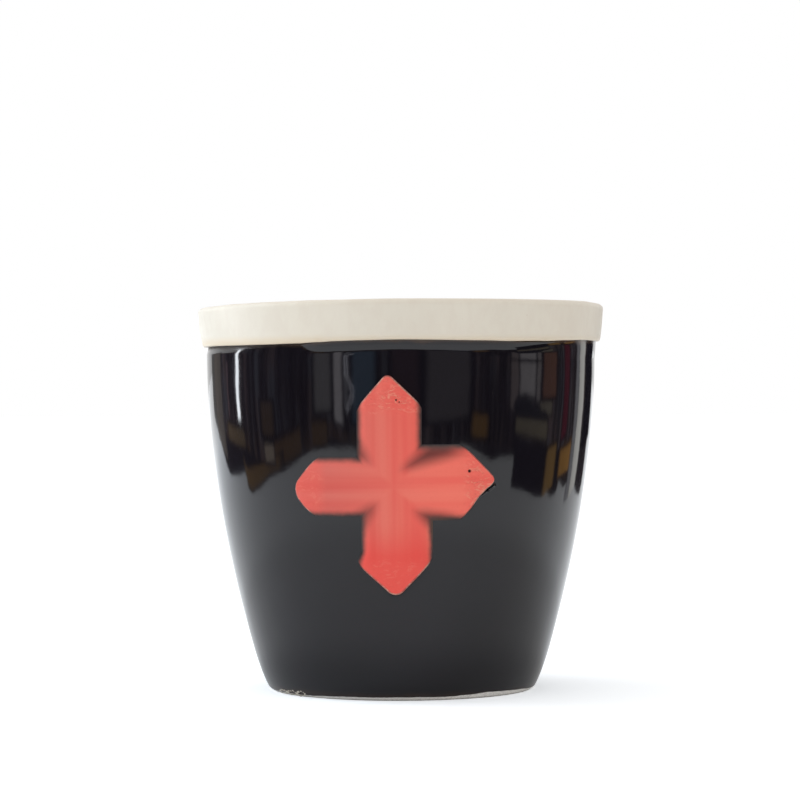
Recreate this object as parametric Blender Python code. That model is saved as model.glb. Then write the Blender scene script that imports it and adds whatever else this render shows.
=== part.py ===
"""A small stoneware condiment jar, built up in the layers a potter gives it: the fired clay pot with its
collared rim and turned foot, the cream glaze that lines it and folds over the rim, the black glaze outside,
and the pressed clay plaque in front under its coat of red enamel.

Metres, +Z up. The jar stands on z = 0 about the Z axis, with the plaque towards -Y."""

import math

import bmesh
import bpy

# The jar as a whole
JAR_HEIGHT = 0.0900
RIM_DIAMETER = 0.0950

# The collar round the rim, and the hollow under it
COLLAR_HEIGHT = 0.0090
COLLAR_TAPER = 0.0006
COLLAR_STEP = 0.0014
HOLLOW_HEIGHT = 0.0040
LIP_OUTER_ROUND = 0.0012
LIP_INNER_ROUND = 0.0022

# The wall: it falls in a swelling curve from the shoulder to the heel
SWELL_FOOT_DIAMETER = 0.0636
SWELL_POWER = 1.78
HEEL_HEIGHT = 0.0100
HEEL_TUCK = 0.0012
WALL_AT_RIM = 0.0042
WALL_AT_FOOT = 0.0070

# The floor and the turned foot
FLOOR_THICKNESS = 0.0064
INSIDE_CORNER = 0.0090
FOOT_RING_WIDTH = 0.0045
FOOT_RECESS = 0.0016
RECESS_CORNER = 0.0010
BARE_FOOT_HEIGHT = 0.0012

# The glazes, and the clearance that each layer keeps to the next
LINER_COAT = 0.0005
OUTER_COAT = 0.0006
COAT_GAP = 0.0003

# The plaque, a square tile on its corner: sizes across the sharp corners
PLAQUE_WIDTH = 0.0493
PLAQUE_HEIGHT = 0.0515
PLAQUE_CORNER = 0.0030
PLAQUE_DROP = 0.0066
PLAQUE_STAND = 0.0005
PLAQUE_EDGE_ROUND = 0.0004
PLAQUE_BEARING = math.radians(-92.05)
PLAQUE_ROLL = math.radians(2.3)
ENAMEL_COAT = 0.0004
ENAMEL_MARGIN = 0.0004
ENAMEL_EDGE_ROUND = 0.0002

# Cutting tools run this far past what they cut
CUT_OVERRUN = 0.0010

# Corners sharper than this show as an edge, and points closer than this are one
SHARP_ANGLE = math.radians(35)
MERGE_DISTANCE = 0.00001

# How finely curves are divided
TURN_STEPS = 48
WALL_STEPS = 7
ROUND_STEPS = 4
EDGE_STEPS = 2
SIDE_STEPS = 7
FACE_RING_SHARES = (0.82, 0.55, 0.28)

# Heights and radii that follow from the sizes above
RIM_RADIUS = RIM_DIAMETER / 2
COLLAR_FOOT = JAR_HEIGHT - COLLAR_HEIGHT
COLLAR_FOOT_RADIUS = RIM_RADIUS - COLLAR_TAPER
SHOULDER = COLLAR_FOOT - HOLLOW_HEIGHT
SHOULDER_RADIUS = COLLAR_FOOT_RADIUS - COLLAR_STEP
FLOOR = FOOT_RECESS + FLOOR_THICKNESS
BARE_FOOT_TOP = BARE_FOOT_HEIGHT - COAT_GAP
BODY_DEPTH_OUTSIDE = OUTER_COAT + COAT_GAP
BODY_DEPTH_INSIDE = LINER_COAT + COAT_GAP
PLAQUE_CENTRE = COLLAR_FOOT - PLAQUE_DROP - PLAQUE_HEIGHT / 2
ENAMEL_SEAT = PLAQUE_STAND + COAT_GAP


def clear_scene():
    for old in list(bpy.data.objects):
        bpy.data.objects.remove(old)


def finish(name, colour, roughness, metallic=0.0):
    """A plain surface finish for one material of the jar."""
    material = bpy.data.materials.new(name)
    material.use_nodes = True
    shader = material.node_tree.nodes["Principled BSDF"]
    shader.inputs["Base Color"].default_value = (*colour, 1.0)
    shader.inputs["Roughness"].default_value = roughness
    shader.inputs["Metallic"].default_value = metallic
    material.diffuse_color = (*colour, 1.0)
    return material


# The outline of the jar, as radii by height. A depth is measured into the wall from the jar's own surface.

def drawn_in(share):
    """How far a quarter round has drawn in at a share of its height: 0 at its tangent, 1 at its far end."""
    share = min(max(share, 0.0), 1.0)
    return 1.0 - math.sqrt(1.0 - share * share)


def swell_radius(z):
    """Outside of the wall at height z, without the heel's tuck and the hollow under the collar."""
    fallen = max(SHOULDER - z, 0.0) / SHOULDER
    return SHOULDER_RADIUS - (SHOULDER_RADIUS - SWELL_FOOT_DIAMETER / 2) * fallen ** SWELL_POWER


def outside_radius(z, depth=0.0):
    """Outside of the wall, from the ground to the underside of the collar."""
    tuck = HEEL_TUCK * drawn_in(1.0 - z / HEEL_HEIGHT)
    flare = COLLAR_STEP * drawn_in((z - SHOULDER) / (HOLLOW_HEIGHT + depth))
    return swell_radius(z) - depth - tuck + flare


def inside_radius(z, depth=0.0):
    """Inside of the wall, from the floor's rounded corner to the mouth."""
    thickness = WALL_AT_FOOT + (WALL_AT_RIM - WALL_AT_FOOT) * z / JAR_HEIGHT
    corner = INSIDE_CORNER + depth
    return swell_radius(z) - thickness + depth - corner * drawn_in(1.0 - (z - FLOOR + depth) / corner)


def evenly(low, high, steps):
    return [low + (high - low) * step / steps for step in range(steps + 1)]


def quarter_shares(steps=ROUND_STEPS):
    """Shares from 0 to 1 that divide a quarter round into equal angles."""
    return [math.sin(angle) for angle in evenly(0.0, math.pi / 2, steps)]


def outside_wall(low, high, depth):
    """Outline of the outside from height low up to height high."""
    heights = [HEEL_HEIGHT * (1.0 - share) for share in reversed(quarter_shares())]
    heights += evenly(HEEL_HEIGHT, SHOULDER, WALL_STEPS)[1:]
    heights += [SHOULDER + (HOLLOW_HEIGHT + depth) * share for share in quarter_shares()[1:]]
    kept = [z for z in heights if low < z < high]
    return [(outside_radius(z, depth), z) for z in (low, *kept, high)]


def collar_face(depth, foot):
    """Outline of the collar's face, from its lower edge at height foot up to the lip's outer round."""
    return [
        (COLLAR_FOOT_RADIUS - depth, foot),
        (RIM_RADIUS - depth, JAR_HEIGHT - LIP_OUTER_ROUND),
    ]


def lip(depth):
    """Outline over the lip, from the top of the collar's face to the top of the inside wall."""
    outer = LIP_OUTER_ROUND - depth
    inner = LIP_INNER_ROUND - depth
    outer_centre = RIM_RADIUS - LIP_OUTER_ROUND
    inner_centre = inside_radius(JAR_HEIGHT - LIP_INNER_ROUND) + LIP_INNER_ROUND
    points = []
    for share, rise in zip(reversed(quarter_shares()), quarter_shares()):
        points.append((outer_centre + outer * share, JAR_HEIGHT - LIP_OUTER_ROUND + outer * rise))
    for share, fall in zip(quarter_shares(), reversed(quarter_shares())):
        points.append((inner_centre - inner * share, JAR_HEIGHT - LIP_INNER_ROUND + inner * fall))
    return points[1:]


def inside_wall(depth):
    """Outline of the inside, from below the lip down to the centre of the floor."""
    floor = FLOOR - depth
    corner = INSIDE_CORNER + depth
    heights = evenly(JAR_HEIGHT - LIP_INNER_ROUND, floor + corner, WALL_STEPS)[1:]
    heights += [floor + corner * (1.0 - share) for share in quarter_shares()[1:]]
    return [(inside_radius(z, depth), z) for z in heights] + [(0.0, floor)]


def turned_foot():
    """Outline of the foot, from the centre of its recess, round its ring, to under the black glaze's edge."""
    ring_inner = outside_radius(0.0) - FOOT_RING_WIDTH
    points = [(0.0, FOOT_RECESS)]
    for share, fall in zip(quarter_shares(), reversed(quarter_shares())):
        points.append((
            ring_inner - RECESS_CORNER * (1.0 - share),
            FOOT_RECESS - RECESS_CORNER * (1.0 - fall),
        ))
    bare = [(outside_radius(z), z) for z in (0.0, BARE_FOOT_TOP)]
    return [*points, (ring_inner, 0.0), *bare]


# Turned pieces

def turned(name, outline, material):
    """A solid turned about Z from an outline, which may begin and end on the axis."""
    form = bmesh.new()
    corners = [form.verts.new((radius, 0.0, z)) for radius, z in outline]
    edges = [form.edges.new(pair) for pair in zip(corners, corners[1:])]
    if outline[0][0] > 0.0:
        edges.append(form.edges.new((corners[-1], corners[0])))
    bmesh.ops.spin(
        form, geom=corners + edges, axis=(0, 0, 1), cent=(0, 0, 0),
        angle=math.tau, steps=TURN_STEPS, use_merge=True,
    )
    return solid(name, form, material)


def solid(name, form, material):
    """Puts a finished form into the scene as one object, smooth but for its sharp edges."""
    bmesh.ops.remove_doubles(form, verts=form.verts, dist=MERGE_DISTANCE)
    bmesh.ops.recalc_face_normals(form, faces=form.faces)
    mesh = bpy.data.meshes.new(name)
    form.to_mesh(mesh)
    form.free()
    mesh.shade_smooth()
    mesh.set_sharp_from_angle(angle=SHARP_ANGLE)
    mesh.materials.append(material)
    piece = bpy.data.objects.new(name, mesh)
    bpy.context.scene.collection.objects.link(piece)
    return piece


# The plaque: a tile on its corner, wrapped round the swelling wall

def rounded_diamond(margin):
    """The plaque's outline drawn in by a margin, as (across, up) from its centre, anticlockwise."""
    half_width = PLAQUE_WIDTH / 2
    half_height = PLAQUE_HEIGHT / 2
    side = math.hypot(half_width, half_height)
    half_width, half_height = (
        half_width - margin * side / half_height,
        half_height - margin * side / half_width,
    )
    corners = [(half_width, 0.0), (0.0, half_height), (-half_width, 0.0), (0.0, -half_height)]
    radius = PLAQUE_CORNER - margin
    rounds = [rounded_corner(corners[i - 1], corners[i], corners[(i + 1) % 4], radius) for i in range(4)]
    points = []
    for this, following in zip(rounds, rounds[1:] + rounds[:1]):
        points += this
        points += between(this[-1], following[0])
    return points


def between(start, end):
    """Points that divide a straight side, without its two ends."""
    shares = evenly(0.0, 1.0, SIDE_STEPS)[1:-1]
    return [tuple(a + (b - a) * share for a, b in zip(start, end)) for share in shares]


def rounded_corner(before, corner, after, radius):
    """The arc that rounds a corner between its two neighbours."""
    def unit(to):
        length = math.dist(corner, to)
        return [(b - a) / length for a, b in zip(corner, to)]

    inward, outward = unit(before), unit(after)
    half_angle = math.acos(sum(a * b for a, b in zip(inward, outward))) / 2
    bisector = [a + b for a, b in zip(inward, outward)]
    reach = radius / math.sin(half_angle) / math.hypot(*bisector)
    centre = [c + b * reach for c, b in zip(corner, bisector)]
    tangent = radius / math.tan(half_angle)
    start = [c + d * tangent - m for c, d, m in zip(corner, inward, centre)]
    sweep = math.pi - 2 * half_angle
    points = []
    for turn in evenly(0.0, sweep, ROUND_STEPS):
        points.append((
            centre[0] + start[0] * math.cos(turn) - start[1] * math.sin(turn),
            centre[1] + start[0] * math.sin(turn) + start[1] * math.cos(turn),
        ))
    return points


def on_wall(across, up, stand):
    """A point of the plaque, standing off the black glaze by so much, in the jar's frame."""
    turned_across = across * math.cos(PLAQUE_ROLL) - up * math.sin(PLAQUE_ROLL)
    turned_up = across * math.sin(PLAQUE_ROLL) + up * math.cos(PLAQUE_ROLL)
    z = PLAQUE_CENTRE + turned_up
    angle = PLAQUE_BEARING + turned_across / outside_radius(z)
    radius = outside_radius(z) + stand
    return radius * math.cos(angle), radius * math.sin(angle), z


def wrapped_tile(name, back, face, margin, edge_round, material):
    """A diamond tile between two distances from the black glaze, its outline drawn in by a margin."""
    outline = rounded_diamond(margin)
    rings = [laid_ring(outline, share, back) for share in reversed(FACE_RING_SHARES)]
    rings.append(laid_ring(outline, 1.0, back))
    for share, rise in zip(reversed(quarter_shares(EDGE_STEPS)), quarter_shares(EDGE_STEPS)):
        edge = rounded_diamond(margin + edge_round * (1.0 - share))
        rings.append(laid_ring(edge, 1.0, face - edge_round * (1.0 - rise)))
    rings += [laid_ring(edge, share, face) for share in FACE_RING_SHARES]
    form = bmesh.new()
    loops = [[form.verts.new(point) for point in ring] for ring in rings]
    for lower, upper in zip(loops, loops[1:]):
        for i in range(len(lower)):
            form.faces.new((lower[i - 1], lower[i], upper[i], upper[i - 1]))
    for loop, stand in ((loops[0], back), (loops[-1], face)):
        centre = form.verts.new(on_wall(0.0, 0.0, stand))
        for i in range(len(loop)):
            form.faces.new((loop[i - 1], loop[i], centre))
    return solid(name, form, material)


def laid_ring(outline, share, stand):
    """An outline drawn down to a share of its size and laid on the wall."""
    return [on_wall(across * share, up * share, stand) for across, up in outline]


# The pieces of the jar

def build_body():
    """The fired clay pot: collar, wall, floor and turned foot in one."""
    clay = finish("bare_stoneware", (0.50, 0.46, 0.40), 0.85)
    collar_underside = COLLAR_FOOT + BODY_DEPTH_OUTSIDE
    outline = turned_foot()
    outline += outside_wall(BARE_FOOT_TOP, collar_underside, BODY_DEPTH_OUTSIDE)
    outline += collar_face(BODY_DEPTH_INSIDE, collar_underside)
    outline += lip(BODY_DEPTH_INSIDE)
    outline += inside_wall(BODY_DEPTH_INSIDE)
    return turned("stoneware_body", outline, clay)


def build_liner():
    """The cream glaze: poured inside, and carried over the lip to the collar's lower edge."""
    cream = finish("cream_glaze", (0.70, 0.64, 0.53), 0.35)
    face = inside_wall(0.0)[::-1] + lip(0.0)[::-1] + collar_face(0.0, COLLAR_FOOT)[::-1]
    back = collar_face(LINER_COAT, COLLAR_FOOT) + lip(LINER_COAT) + inside_wall(LINER_COAT)
    return turned("cream_liner_glaze", face + back, cream)


def build_outer_glaze():
    """The black glaze: from above the bare foot to under the collar, left open round the plaque."""
    black = finish("black_glaze", (0.012, 0.012, 0.014), 0.10)
    top = COLLAR_FOOT - COAT_GAP
    face = outside_wall(BARE_FOOT_HEIGHT, top, 0.0)
    back = outside_wall(BARE_FOOT_HEIGHT, top, OUTER_COAT)
    glaze = turned("black_outer_glaze", face + back[::-1], black)
    window_back = -OUTER_COAT - CUT_OVERRUN
    window = wrapped_tile("plaque_window", window_back, CUT_OVERRUN, -COAT_GAP, 0.0, black)
    window.hide_render = True
    window.display_type = "WIRE"
    cut = glaze.modifiers.new("Window", "BOOLEAN")
    cut.operation = "DIFFERENCE"
    cut.object = window
    return glaze


def build_plaque():
    """The pressed clay tile, set on the clay wall through the opening in the black glaze."""
    clay = finish("plaque_clay", (0.45, 0.30, 0.22), 0.70)
    return wrapped_tile("plaque", -OUTER_COAT, PLAQUE_STAND, 0.0, PLAQUE_EDGE_ROUND, clay)


def build_enamel():
    """The red enamel over the plaque's face."""
    red = finish("red_enamel", (0.66, 0.07, 0.05), 0.40)
    return wrapped_tile(
        "red_plaque_enamel", ENAMEL_SEAT, ENAMEL_SEAT + ENAMEL_COAT, ENAMEL_MARGIN, ENAMEL_EDGE_ROUND, red,
    )


def main():
    clear_scene()
    build_body()
    build_liner()
    build_outer_glaze()
    build_plaque()
    build_enamel()


main()
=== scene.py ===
"""A small stoneware condiment jar in its finished glazes, modelled round the jar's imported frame.

Laid out as a Blender add-on: sizes and colours are scene properties, each piece of the jar has an operator
of its own, and a panel in the 3D view's sidebar lists them. Run as a script, it builds the jar and its stage.

Metres, +Z up. The jar stands on z = 0 about the Z axis, with its plaque towards -Y."""

import math
import random

import bpy
from bpy.props import FloatProperty, FloatVectorProperty, PointerProperty
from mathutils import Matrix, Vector, noise


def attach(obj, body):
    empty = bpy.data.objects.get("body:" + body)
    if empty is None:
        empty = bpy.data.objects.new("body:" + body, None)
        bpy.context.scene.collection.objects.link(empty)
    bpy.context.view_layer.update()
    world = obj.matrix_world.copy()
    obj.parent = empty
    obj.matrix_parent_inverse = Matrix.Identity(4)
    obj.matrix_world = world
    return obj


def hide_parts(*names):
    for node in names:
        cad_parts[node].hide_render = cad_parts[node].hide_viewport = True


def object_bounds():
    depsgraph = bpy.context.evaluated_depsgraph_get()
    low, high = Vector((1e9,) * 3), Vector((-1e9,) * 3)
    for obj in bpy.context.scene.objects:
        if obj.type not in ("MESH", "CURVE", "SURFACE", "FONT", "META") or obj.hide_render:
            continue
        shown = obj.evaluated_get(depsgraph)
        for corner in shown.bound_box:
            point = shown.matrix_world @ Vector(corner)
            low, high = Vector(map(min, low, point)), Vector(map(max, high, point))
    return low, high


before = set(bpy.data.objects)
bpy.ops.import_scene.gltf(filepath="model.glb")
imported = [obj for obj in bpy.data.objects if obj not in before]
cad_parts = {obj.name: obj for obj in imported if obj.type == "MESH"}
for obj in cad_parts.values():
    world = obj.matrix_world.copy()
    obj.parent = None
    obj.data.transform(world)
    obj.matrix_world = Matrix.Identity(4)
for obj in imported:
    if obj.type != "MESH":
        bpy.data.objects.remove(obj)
CAD_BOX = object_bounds()
BODY = "root"

bl_info = {
    "name": "Stoneware condiment jar",
    "version": (1, 0, 0),
    "blender": (4, 5, 0),
    "location": "View3D > Sidebar > Condiment jar",
    "description": "Turns, glazes and labels a small stoneware condiment jar, and sets it on a pale stage",
    "category": "Add Mesh",
}

MM = 0.001

# The outline's smaller sizes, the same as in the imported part
COLLAR_TAPER = 0.6 * MM
COLLAR_STEP = 1.4 * MM
HOLLOW_HEIGHT = 4.0 * MM
LIP_OUTER_ROUND = 1.2 * MM
LIP_INNER_ROUND = 2.2 * MM
SWELL_POWER = 1.78
HEEL_HEIGHT = 10.0 * MM
HEEL_TUCK = 1.2 * MM
WALL_AT_RIM = 4.2 * MM
WALL_AT_FOOT = 7.0 * MM
FLOOR = 8.0 * MM
INSIDE_CORNER = 9.0 * MM
FOOT_RING_WIDTH = 4.5 * MM
FOOT_RECESS = 1.6 * MM
RECESS_CORNER = 1.0 * MM
CREAM_COAT = 0.5 * MM
BLACK_COAT = 0.6 * MM
CLAY_UNDER_BLACK = 0.9 * MM
CLAY_UNDER_CREAM = 0.8 * MM

# The edges of the bare foot and of the two glazes, and the share of the hollow's height that the black glaze's flare
# climbs before it stops under the collar
CLAY_FOOT_TOP = 2.4 * MM
CLAY_SET_BACK = CLAY_FOOT_TOP + 0.5 * MM
CLAY_FOOT_SET_IN = 0.08 * MM
FOOT_EDGE_WORN = 0.25 * MM
CREAM_EDGE_ROUND = 0.50 * MM
CREAM_EDGE_HEIGHT = 1.5 * MM
CREAM_TUCKED_IN = 1.6 * MM
BLACK_EDGE_ROUND = 0.22 * MM
BLACK_EDGE_HEIGHT = 1.05 * MM
BLACK_TUCKED_UP = 0.3 * MM
FLARE_TOP = 0.93

# How the jar differs from its left, at -1, to its right, at 1. In millimetres: how far the collar's foot and the lip
# have risen, how far the collar's foot stands out, and how high above the table the black glaze ends. As shares: how
# much of the black glaze's flare under the collar is there, and how far the wall leans out where it isn't
COLLAR_SETTLES = (
    (-1.0, -1.0), (-0.9, -0.93), (-0.66, -0.88), (-0.5, -0.71), (-0.4, -0.48), (-0.3, -0.28), (-0.2, -0.18),
    (0.0, -0.01), (0.4, -0.20), (0.52, -0.33), (0.7, -0.26), (0.8, -0.02), (0.9, 0.15), (1.0, 0.05),
)
LIP_SETTLES = (
    (-1.0, -0.95), (-0.92, -0.85), (-0.8, -0.58), (-0.6, -0.38), (-0.4, -0.20), (0.0, 0.0), (0.9, 0.0),
    (0.96, -0.20), (1.0, -0.25),
)
COLLAR_LEANS = ((-1.0, -0.42), (-0.9, -0.38), (-0.6, 0.0), (0.6, 0.0), (0.92, 0.0), (1.0, -0.12))
FLARES = ((-1.0, 0.0), (-0.54, 0.0), (-0.38, 1.0), (0.45, 1.0), (0.80, 0.35), (0.95, 0.0), (1.0, 0.0))
FLARELESS_LEANS = ((-1.0, 0.0), (-0.48, 0.0), (-0.36, 0.30), (1.0, 0.30))
GLAZE_ENDS = (
    (-1.0, 0.50), (-0.8, 0.46), (-0.65, 0.52), (-0.43, 0.74), (-0.2, 0.80), (0.07, 0.86), (0.36, 0.84), (0.46, 1.02),
    (0.63, 1.32), (0.85, 1.06), (0.95, 0.74), (1.0, 0.66),
)

# How finely curves are divided. Faces that a glaze covers are coarser
TURN_STEPS = 300
RING_SPACING = 0.7 * MM
FINE_SPACING = 0.18 * MM
FLOOR_SPACING = 1.2 * MM
RECESS_SPACING = 0.5 * MM
FOOT_SPACING = 0.45 * MM
HEEL_SPACING = 0.3 * MM
UNDER_BLACK_SPACING = 1.6 * MM
COVERED_SPACING = 1.8 * MM
TILE_DIVISIONS = 120
ENAMEL_DIVISIONS = 190
MERGE_DISTANCE = 0.004 * MM
SHARP_ANGLE = math.radians(42)

# The clay's grain at the foot and the turning tool's rings in the recess: how high and how far apart
GRAIN_HEIGHT = 0.035 * MM
GRAIN_SIZES = (0.55 * MM, 0.25 * MM)
TOOL_RING_HEIGHT = 0.03 * MM
TOOL_RING_PITCH = 1.8 * MM

# The finger rings' climb up the inside, and the spiral on the floor
CLIMB_PITCH = 6.2 * MM
CLIMB_WANDER = 0.35
SPIRAL_PITCH = 5.5 * MM
SPIRAL_HEIGHT = 0.12 * MM

# What every colour that a user can change has in common
COLOUR = {"subtype": "COLOR", "size": 3, "min": 0.0, "max": 1.0}


class JarShape(bpy.types.PropertyGroup):
    """Sizes of the turned jar."""

    height: FloatProperty(
        name="Height", description="From the table to the top of the lip",
        default=CAD_BOX[1].z, unit="LENGTH",
    )
    rim_radius: FloatProperty(
        name="Rim radius", description="Outside of the collar at the lip, the jar's widest place",
        default=CAD_BOX[1].x, unit="LENGTH",
    )
    collar_height: FloatProperty(
        name="Collar height", description="Height of the cream collar round the rim",
        default=9.0 * MM, unit="LENGTH",
    )
    foot_radius: FloatProperty(
        name="Foot radius", description="Where the wall's curve meets the table, before the heel tucks in",
        default=31.8 * MM, unit="LENGTH",
    )
    waver: FloatProperty(
        name="Waver", description="How far the hand-turned wall strays from a true curve",
        default=0.045 * MM, unit="LENGTH",
    )
    throwing_rings: FloatProperty(
        name="Throwing rings", description="Depth of the potter's finger rings inside",
        default=0.16 * MM, unit="LENGTH",
    )


class JarFinishes(bpy.types.PropertyGroup):
    """Colours of the clay and the glazes."""

    clay: FloatVectorProperty(
        name="Bare clay", description="Fired clay of the foot", default=(0.80, 0.775, 0.735), **COLOUR,
    )
    grit: FloatVectorProperty(
        name="Kiln grit", description="Crumbs that stuck to the foot", default=(0.62, 0.58, 0.50), **COLOUR,
    )
    cream: FloatVectorProperty(
        name="Cream glaze", description="Glaze of the collar and the inside", default=(0.775, 0.715, 0.605), **COLOUR,
    )
    black: FloatVectorProperty(
        name="Black glaze", description="Glaze of the outside", default=(0.0044, 0.0038, 0.0060), **COLOUR,
    )
    brown: FloatVectorProperty(
        name="Brown break", description="Where the black glaze thins over an edge",
        default=(0.055, 0.030, 0.016), **COLOUR,
    )
    red: FloatVectorProperty(
        name="Red enamel", description="Enamel brushed over the plaque", default=(0.84, 0.104, 0.074), **COLOUR,
    )
    tile_clay: FloatVectorProperty(
        name="Worn edge", description="Clay of the plaque where the enamel has worn off",
        default=(0.66, 0.33, 0.25), **COLOUR,
    )


class PlaqueShape(bpy.types.PropertyGroup):
    """Sizes and place of the diamond plaque."""

    width: FloatProperty(
        name="Width", description="Along the wall, over the sharp corners", default=49.3 * MM, unit="LENGTH",
    )
    height: FloatProperty(
        name="Height", description="Up the wall, over the sharp corners", default=51.5 * MM, unit="LENGTH",
    )
    centre: FloatProperty(
        name="Centre height", description="Height of the plaque's middle", default=48.65 * MM, unit="LENGTH",
    )
    bearing: FloatProperty(
        name="Bearing", description="Direction that the plaque faces, from +X",
        default=math.radians(-92.05), subtype="ANGLE",
    )
    lean: FloatProperty(
        name="Lean", description="How far the plaque leans to the left", default=math.radians(2.3), subtype="ANGLE",
    )
    stand: FloatProperty(
        name="Stand", description="How far the plaque's face stands off the black glaze",
        default=1.15 * MM, unit="LENGTH",
    )


class JarStage(bpy.types.PropertyGroup):
    """The floor, the light and the camera."""

    floor: FloatVectorProperty(
        name="Floor", description="Colour of the table and the backdrop", default=(0.93, 0.93, 0.93), **COLOUR,
    )
    sky: FloatProperty(name="Sky", description="Strength of the soft light all round", default=0.88)
    key: FloatProperty(
        name="Key light", description="Power of the soft lamp at the upper left", default=6.7, unit="POWER",
    )
    camera_distance: FloatProperty(
        name="Camera distance", description="From the jar's axis", default=0.690, unit="LENGTH",
    )
    camera_height: FloatProperty(
        name="Camera height", description="Above the table", default=0.071, unit="LENGTH",
    )
    lens: FloatProperty(name="Lens", description="Focal length", default=132.15, unit="CAMERA")


# The outline


class Outline:
    """The jar's outline as radii by height. A depth is measured into the wall from the jar's own surface."""

    def __init__(self, shape):
        self.height = shape.height
        self.rim = shape.rim_radius
        self.foot = shape.foot_radius
        self.collar_foot = shape.height - shape.collar_height
        self.collar_foot_radius = self.rim - COLLAR_TAPER
        self.shoulder = self.collar_foot - HOLLOW_HEIGHT
        self.shoulder_radius = self.collar_foot_radius - COLLAR_STEP
        self.waver = shape.waver

    def swell(self, z):
        """Outside of the wall, without the heel's tuck and the hollow under the collar."""
        fallen = max(self.shoulder - z, 0.0) / self.shoulder
        return self.shoulder_radius - (self.shoulder_radius - self.foot) * fallen ** SWELL_POWER

    def outside(self, z, depth=0.0):
        """Outside of the wall, from the table to the underside of the collar."""
        tuck = HEEL_TUCK * drawn_in(1.0 - z / HEEL_HEIGHT)
        flare = COLLAR_STEP * drawn_in((z - self.shoulder) / (HOLLOW_HEIGHT + depth))
        return self.swell(z) - depth - tuck + flare

    def inside(self, z, depth=0.0):
        """Inside of the wall, from the floor's rounded corner to the mouth."""
        thickness = WALL_AT_FOOT + (WALL_AT_RIM - WALL_AT_FOOT) * z / self.height
        corner = INSIDE_CORNER + depth
        return self.swell(z) - thickness + depth - corner * drawn_in(1.0 - (z - FLOOR + depth) / corner)

    def outside_points(self, low, high, depth, spacing=RING_SPACING):
        """Points up the outside wall, closer together where the wall turns quickly."""
        heights = steps(low, min(HEEL_HEIGHT, high), spacing * 0.6)
        if high > HEEL_HEIGHT:
            heights += steps(HEEL_HEIGHT, min(self.shoulder, high), spacing)[1:]
        if high > self.shoulder:
            reach = HOLLOW_HEIGHT + depth
            turned = math.asin(min((high - self.shoulder) / reach, 1.0))
            heights += [self.shoulder + reach * math.sin(angle) for angle in evenly(0.0, turned, 22)[1:]]
        return [(self.outside(z, depth), z) for z in heights]

    def collar_points(self, depth, foot):
        """Points up the collar's face, from height foot to where the lip begins to turn over."""
        top = self.height - LIP_OUTER_ROUND
        low_radius = self.collar_foot_radius + COLLAR_TAPER * (foot - self.collar_foot) / (top - self.collar_foot)
        shares = evenly(0.0, 1.0, 12)
        return [(low_radius + (self.rim - low_radius) * s - depth, foot + (top - foot) * s) for s in shares]

    def lip_points(self, depth):
        """Points over the lip, from the top of the collar's face to the top of the inside wall."""
        outer, inner = LIP_OUTER_ROUND - depth, LIP_INNER_ROUND - depth
        outer_x, outer_z = self.rim - LIP_OUTER_ROUND, self.height - LIP_OUTER_ROUND
        inner_z = self.height - LIP_INNER_ROUND
        inner_x = self.inside(inner_z) + LIP_INNER_ROUND
        over = quarter((outer_x + outer, outer_z), (outer_x, outer_z + outer), 8, steep=True)
        land = (inner_x, inner_z + inner)
        return [*over, land, *quarter(land, (inner_x - inner, inner_z), 12)]

    def inside_points(self, depth, spacing=RING_SPACING):
        """Points down the inside wall and over the floor to its centre."""
        floor, corner = FLOOR - depth, INSIDE_CORNER + depth
        heights = steps(self.height - LIP_INNER_ROUND, floor + corner, spacing)[1:]
        heights += [floor + corner * (1.0 - math.sin(angle)) for angle in evenly(0.0, math.pi / 2, 24)[1:]]
        wall = [(self.inside(z, depth), z) for z in heights]
        across = steps(wall[-1][0], 0.0, FLOOR_SPACING)[1:]
        return wall + [(radius, floor) for radius in across]

    def strays(self, angle, z):
        """How far the hand-turned wall stands inside its true curve, the same for every layer."""
        point = Vector((math.cos(angle) * self.rim, math.sin(angle) * self.rim, z))
        slow = noise.noise(point / (21 * MM))
        quick = noise.noise(point / (7.5 * MM) + Vector((5.0, 3.0, 1.0)))
        quickest = noise.noise(Vector((point.x, point.y, point.z * 0.8)) / (4.2 * MM) + Vector((1.0, 9.0, 4.0)))
        return self.waver * min(slow * 0.9 + quick * 0.32 + quickest * 0.17 - 1.0, 0.0)

    def settles(self, angle, z):
        """How far the collar's foot and the lip have risen: both hang lower on the left."""
        side = math.cos(angle)
        uneven = 0.05 * MM * noise.noise(Vector((side * 3.0, math.sin(angle) * 3.0, 4.0)))
        above = 1.0 - smooth((z - self.collar_foot) / (6.5 * MM))
        below = smooth((z - self.shoulder) / (self.collar_foot - self.shoulder))
        foot = (between(COLLAR_SETTLES, side) * MM + uneven) * min(above, below)
        up_the_collar = smooth((z - self.collar_foot) / (self.height - self.collar_foot))
        return foot + between(LIP_SETTLES, side) * MM * up_the_collar

    def leans(self, angle, z):
        """How far the collar's foot stands out: it leans in on the left, and slightly at the right edge."""
        near = smooth(1.0 - abs(z - self.collar_foot - 0.6 * MM) / (3.4 * MM))
        return between(COLLAR_LEANS, math.cos(angle)) * MM * near


def drawn_in(share):
    """How far a quarter round has drawn in at a share of its height: 0 at its tangent, 1 at its far end."""
    share = min(max(share, 0.0), 1.0)
    return 1.0 - math.sqrt(1.0 - share * share)


def smooth(share):
    """A share from 0 to 1 that eases in and out."""
    share = min(max(share, 0.0), 1.0)
    return share * share * (3.0 - 2.0 * share)


def between(table, side):
    """A value for a place from the table's first to its last, eased from each entry to the next."""
    for (place, value), (next_place, next_value) in zip(table, table[1:]):
        if side <= next_place:
            share = smooth((side - place) / (next_place - place))
            return value + (next_value - value) * share
    return table[-1][1]


def evenly(low, high, count):
    """Both ends and the values that divide the way between them into a count of equal steps."""
    return [low + (high - low) * step / count for step in range(count + 1)]


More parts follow.
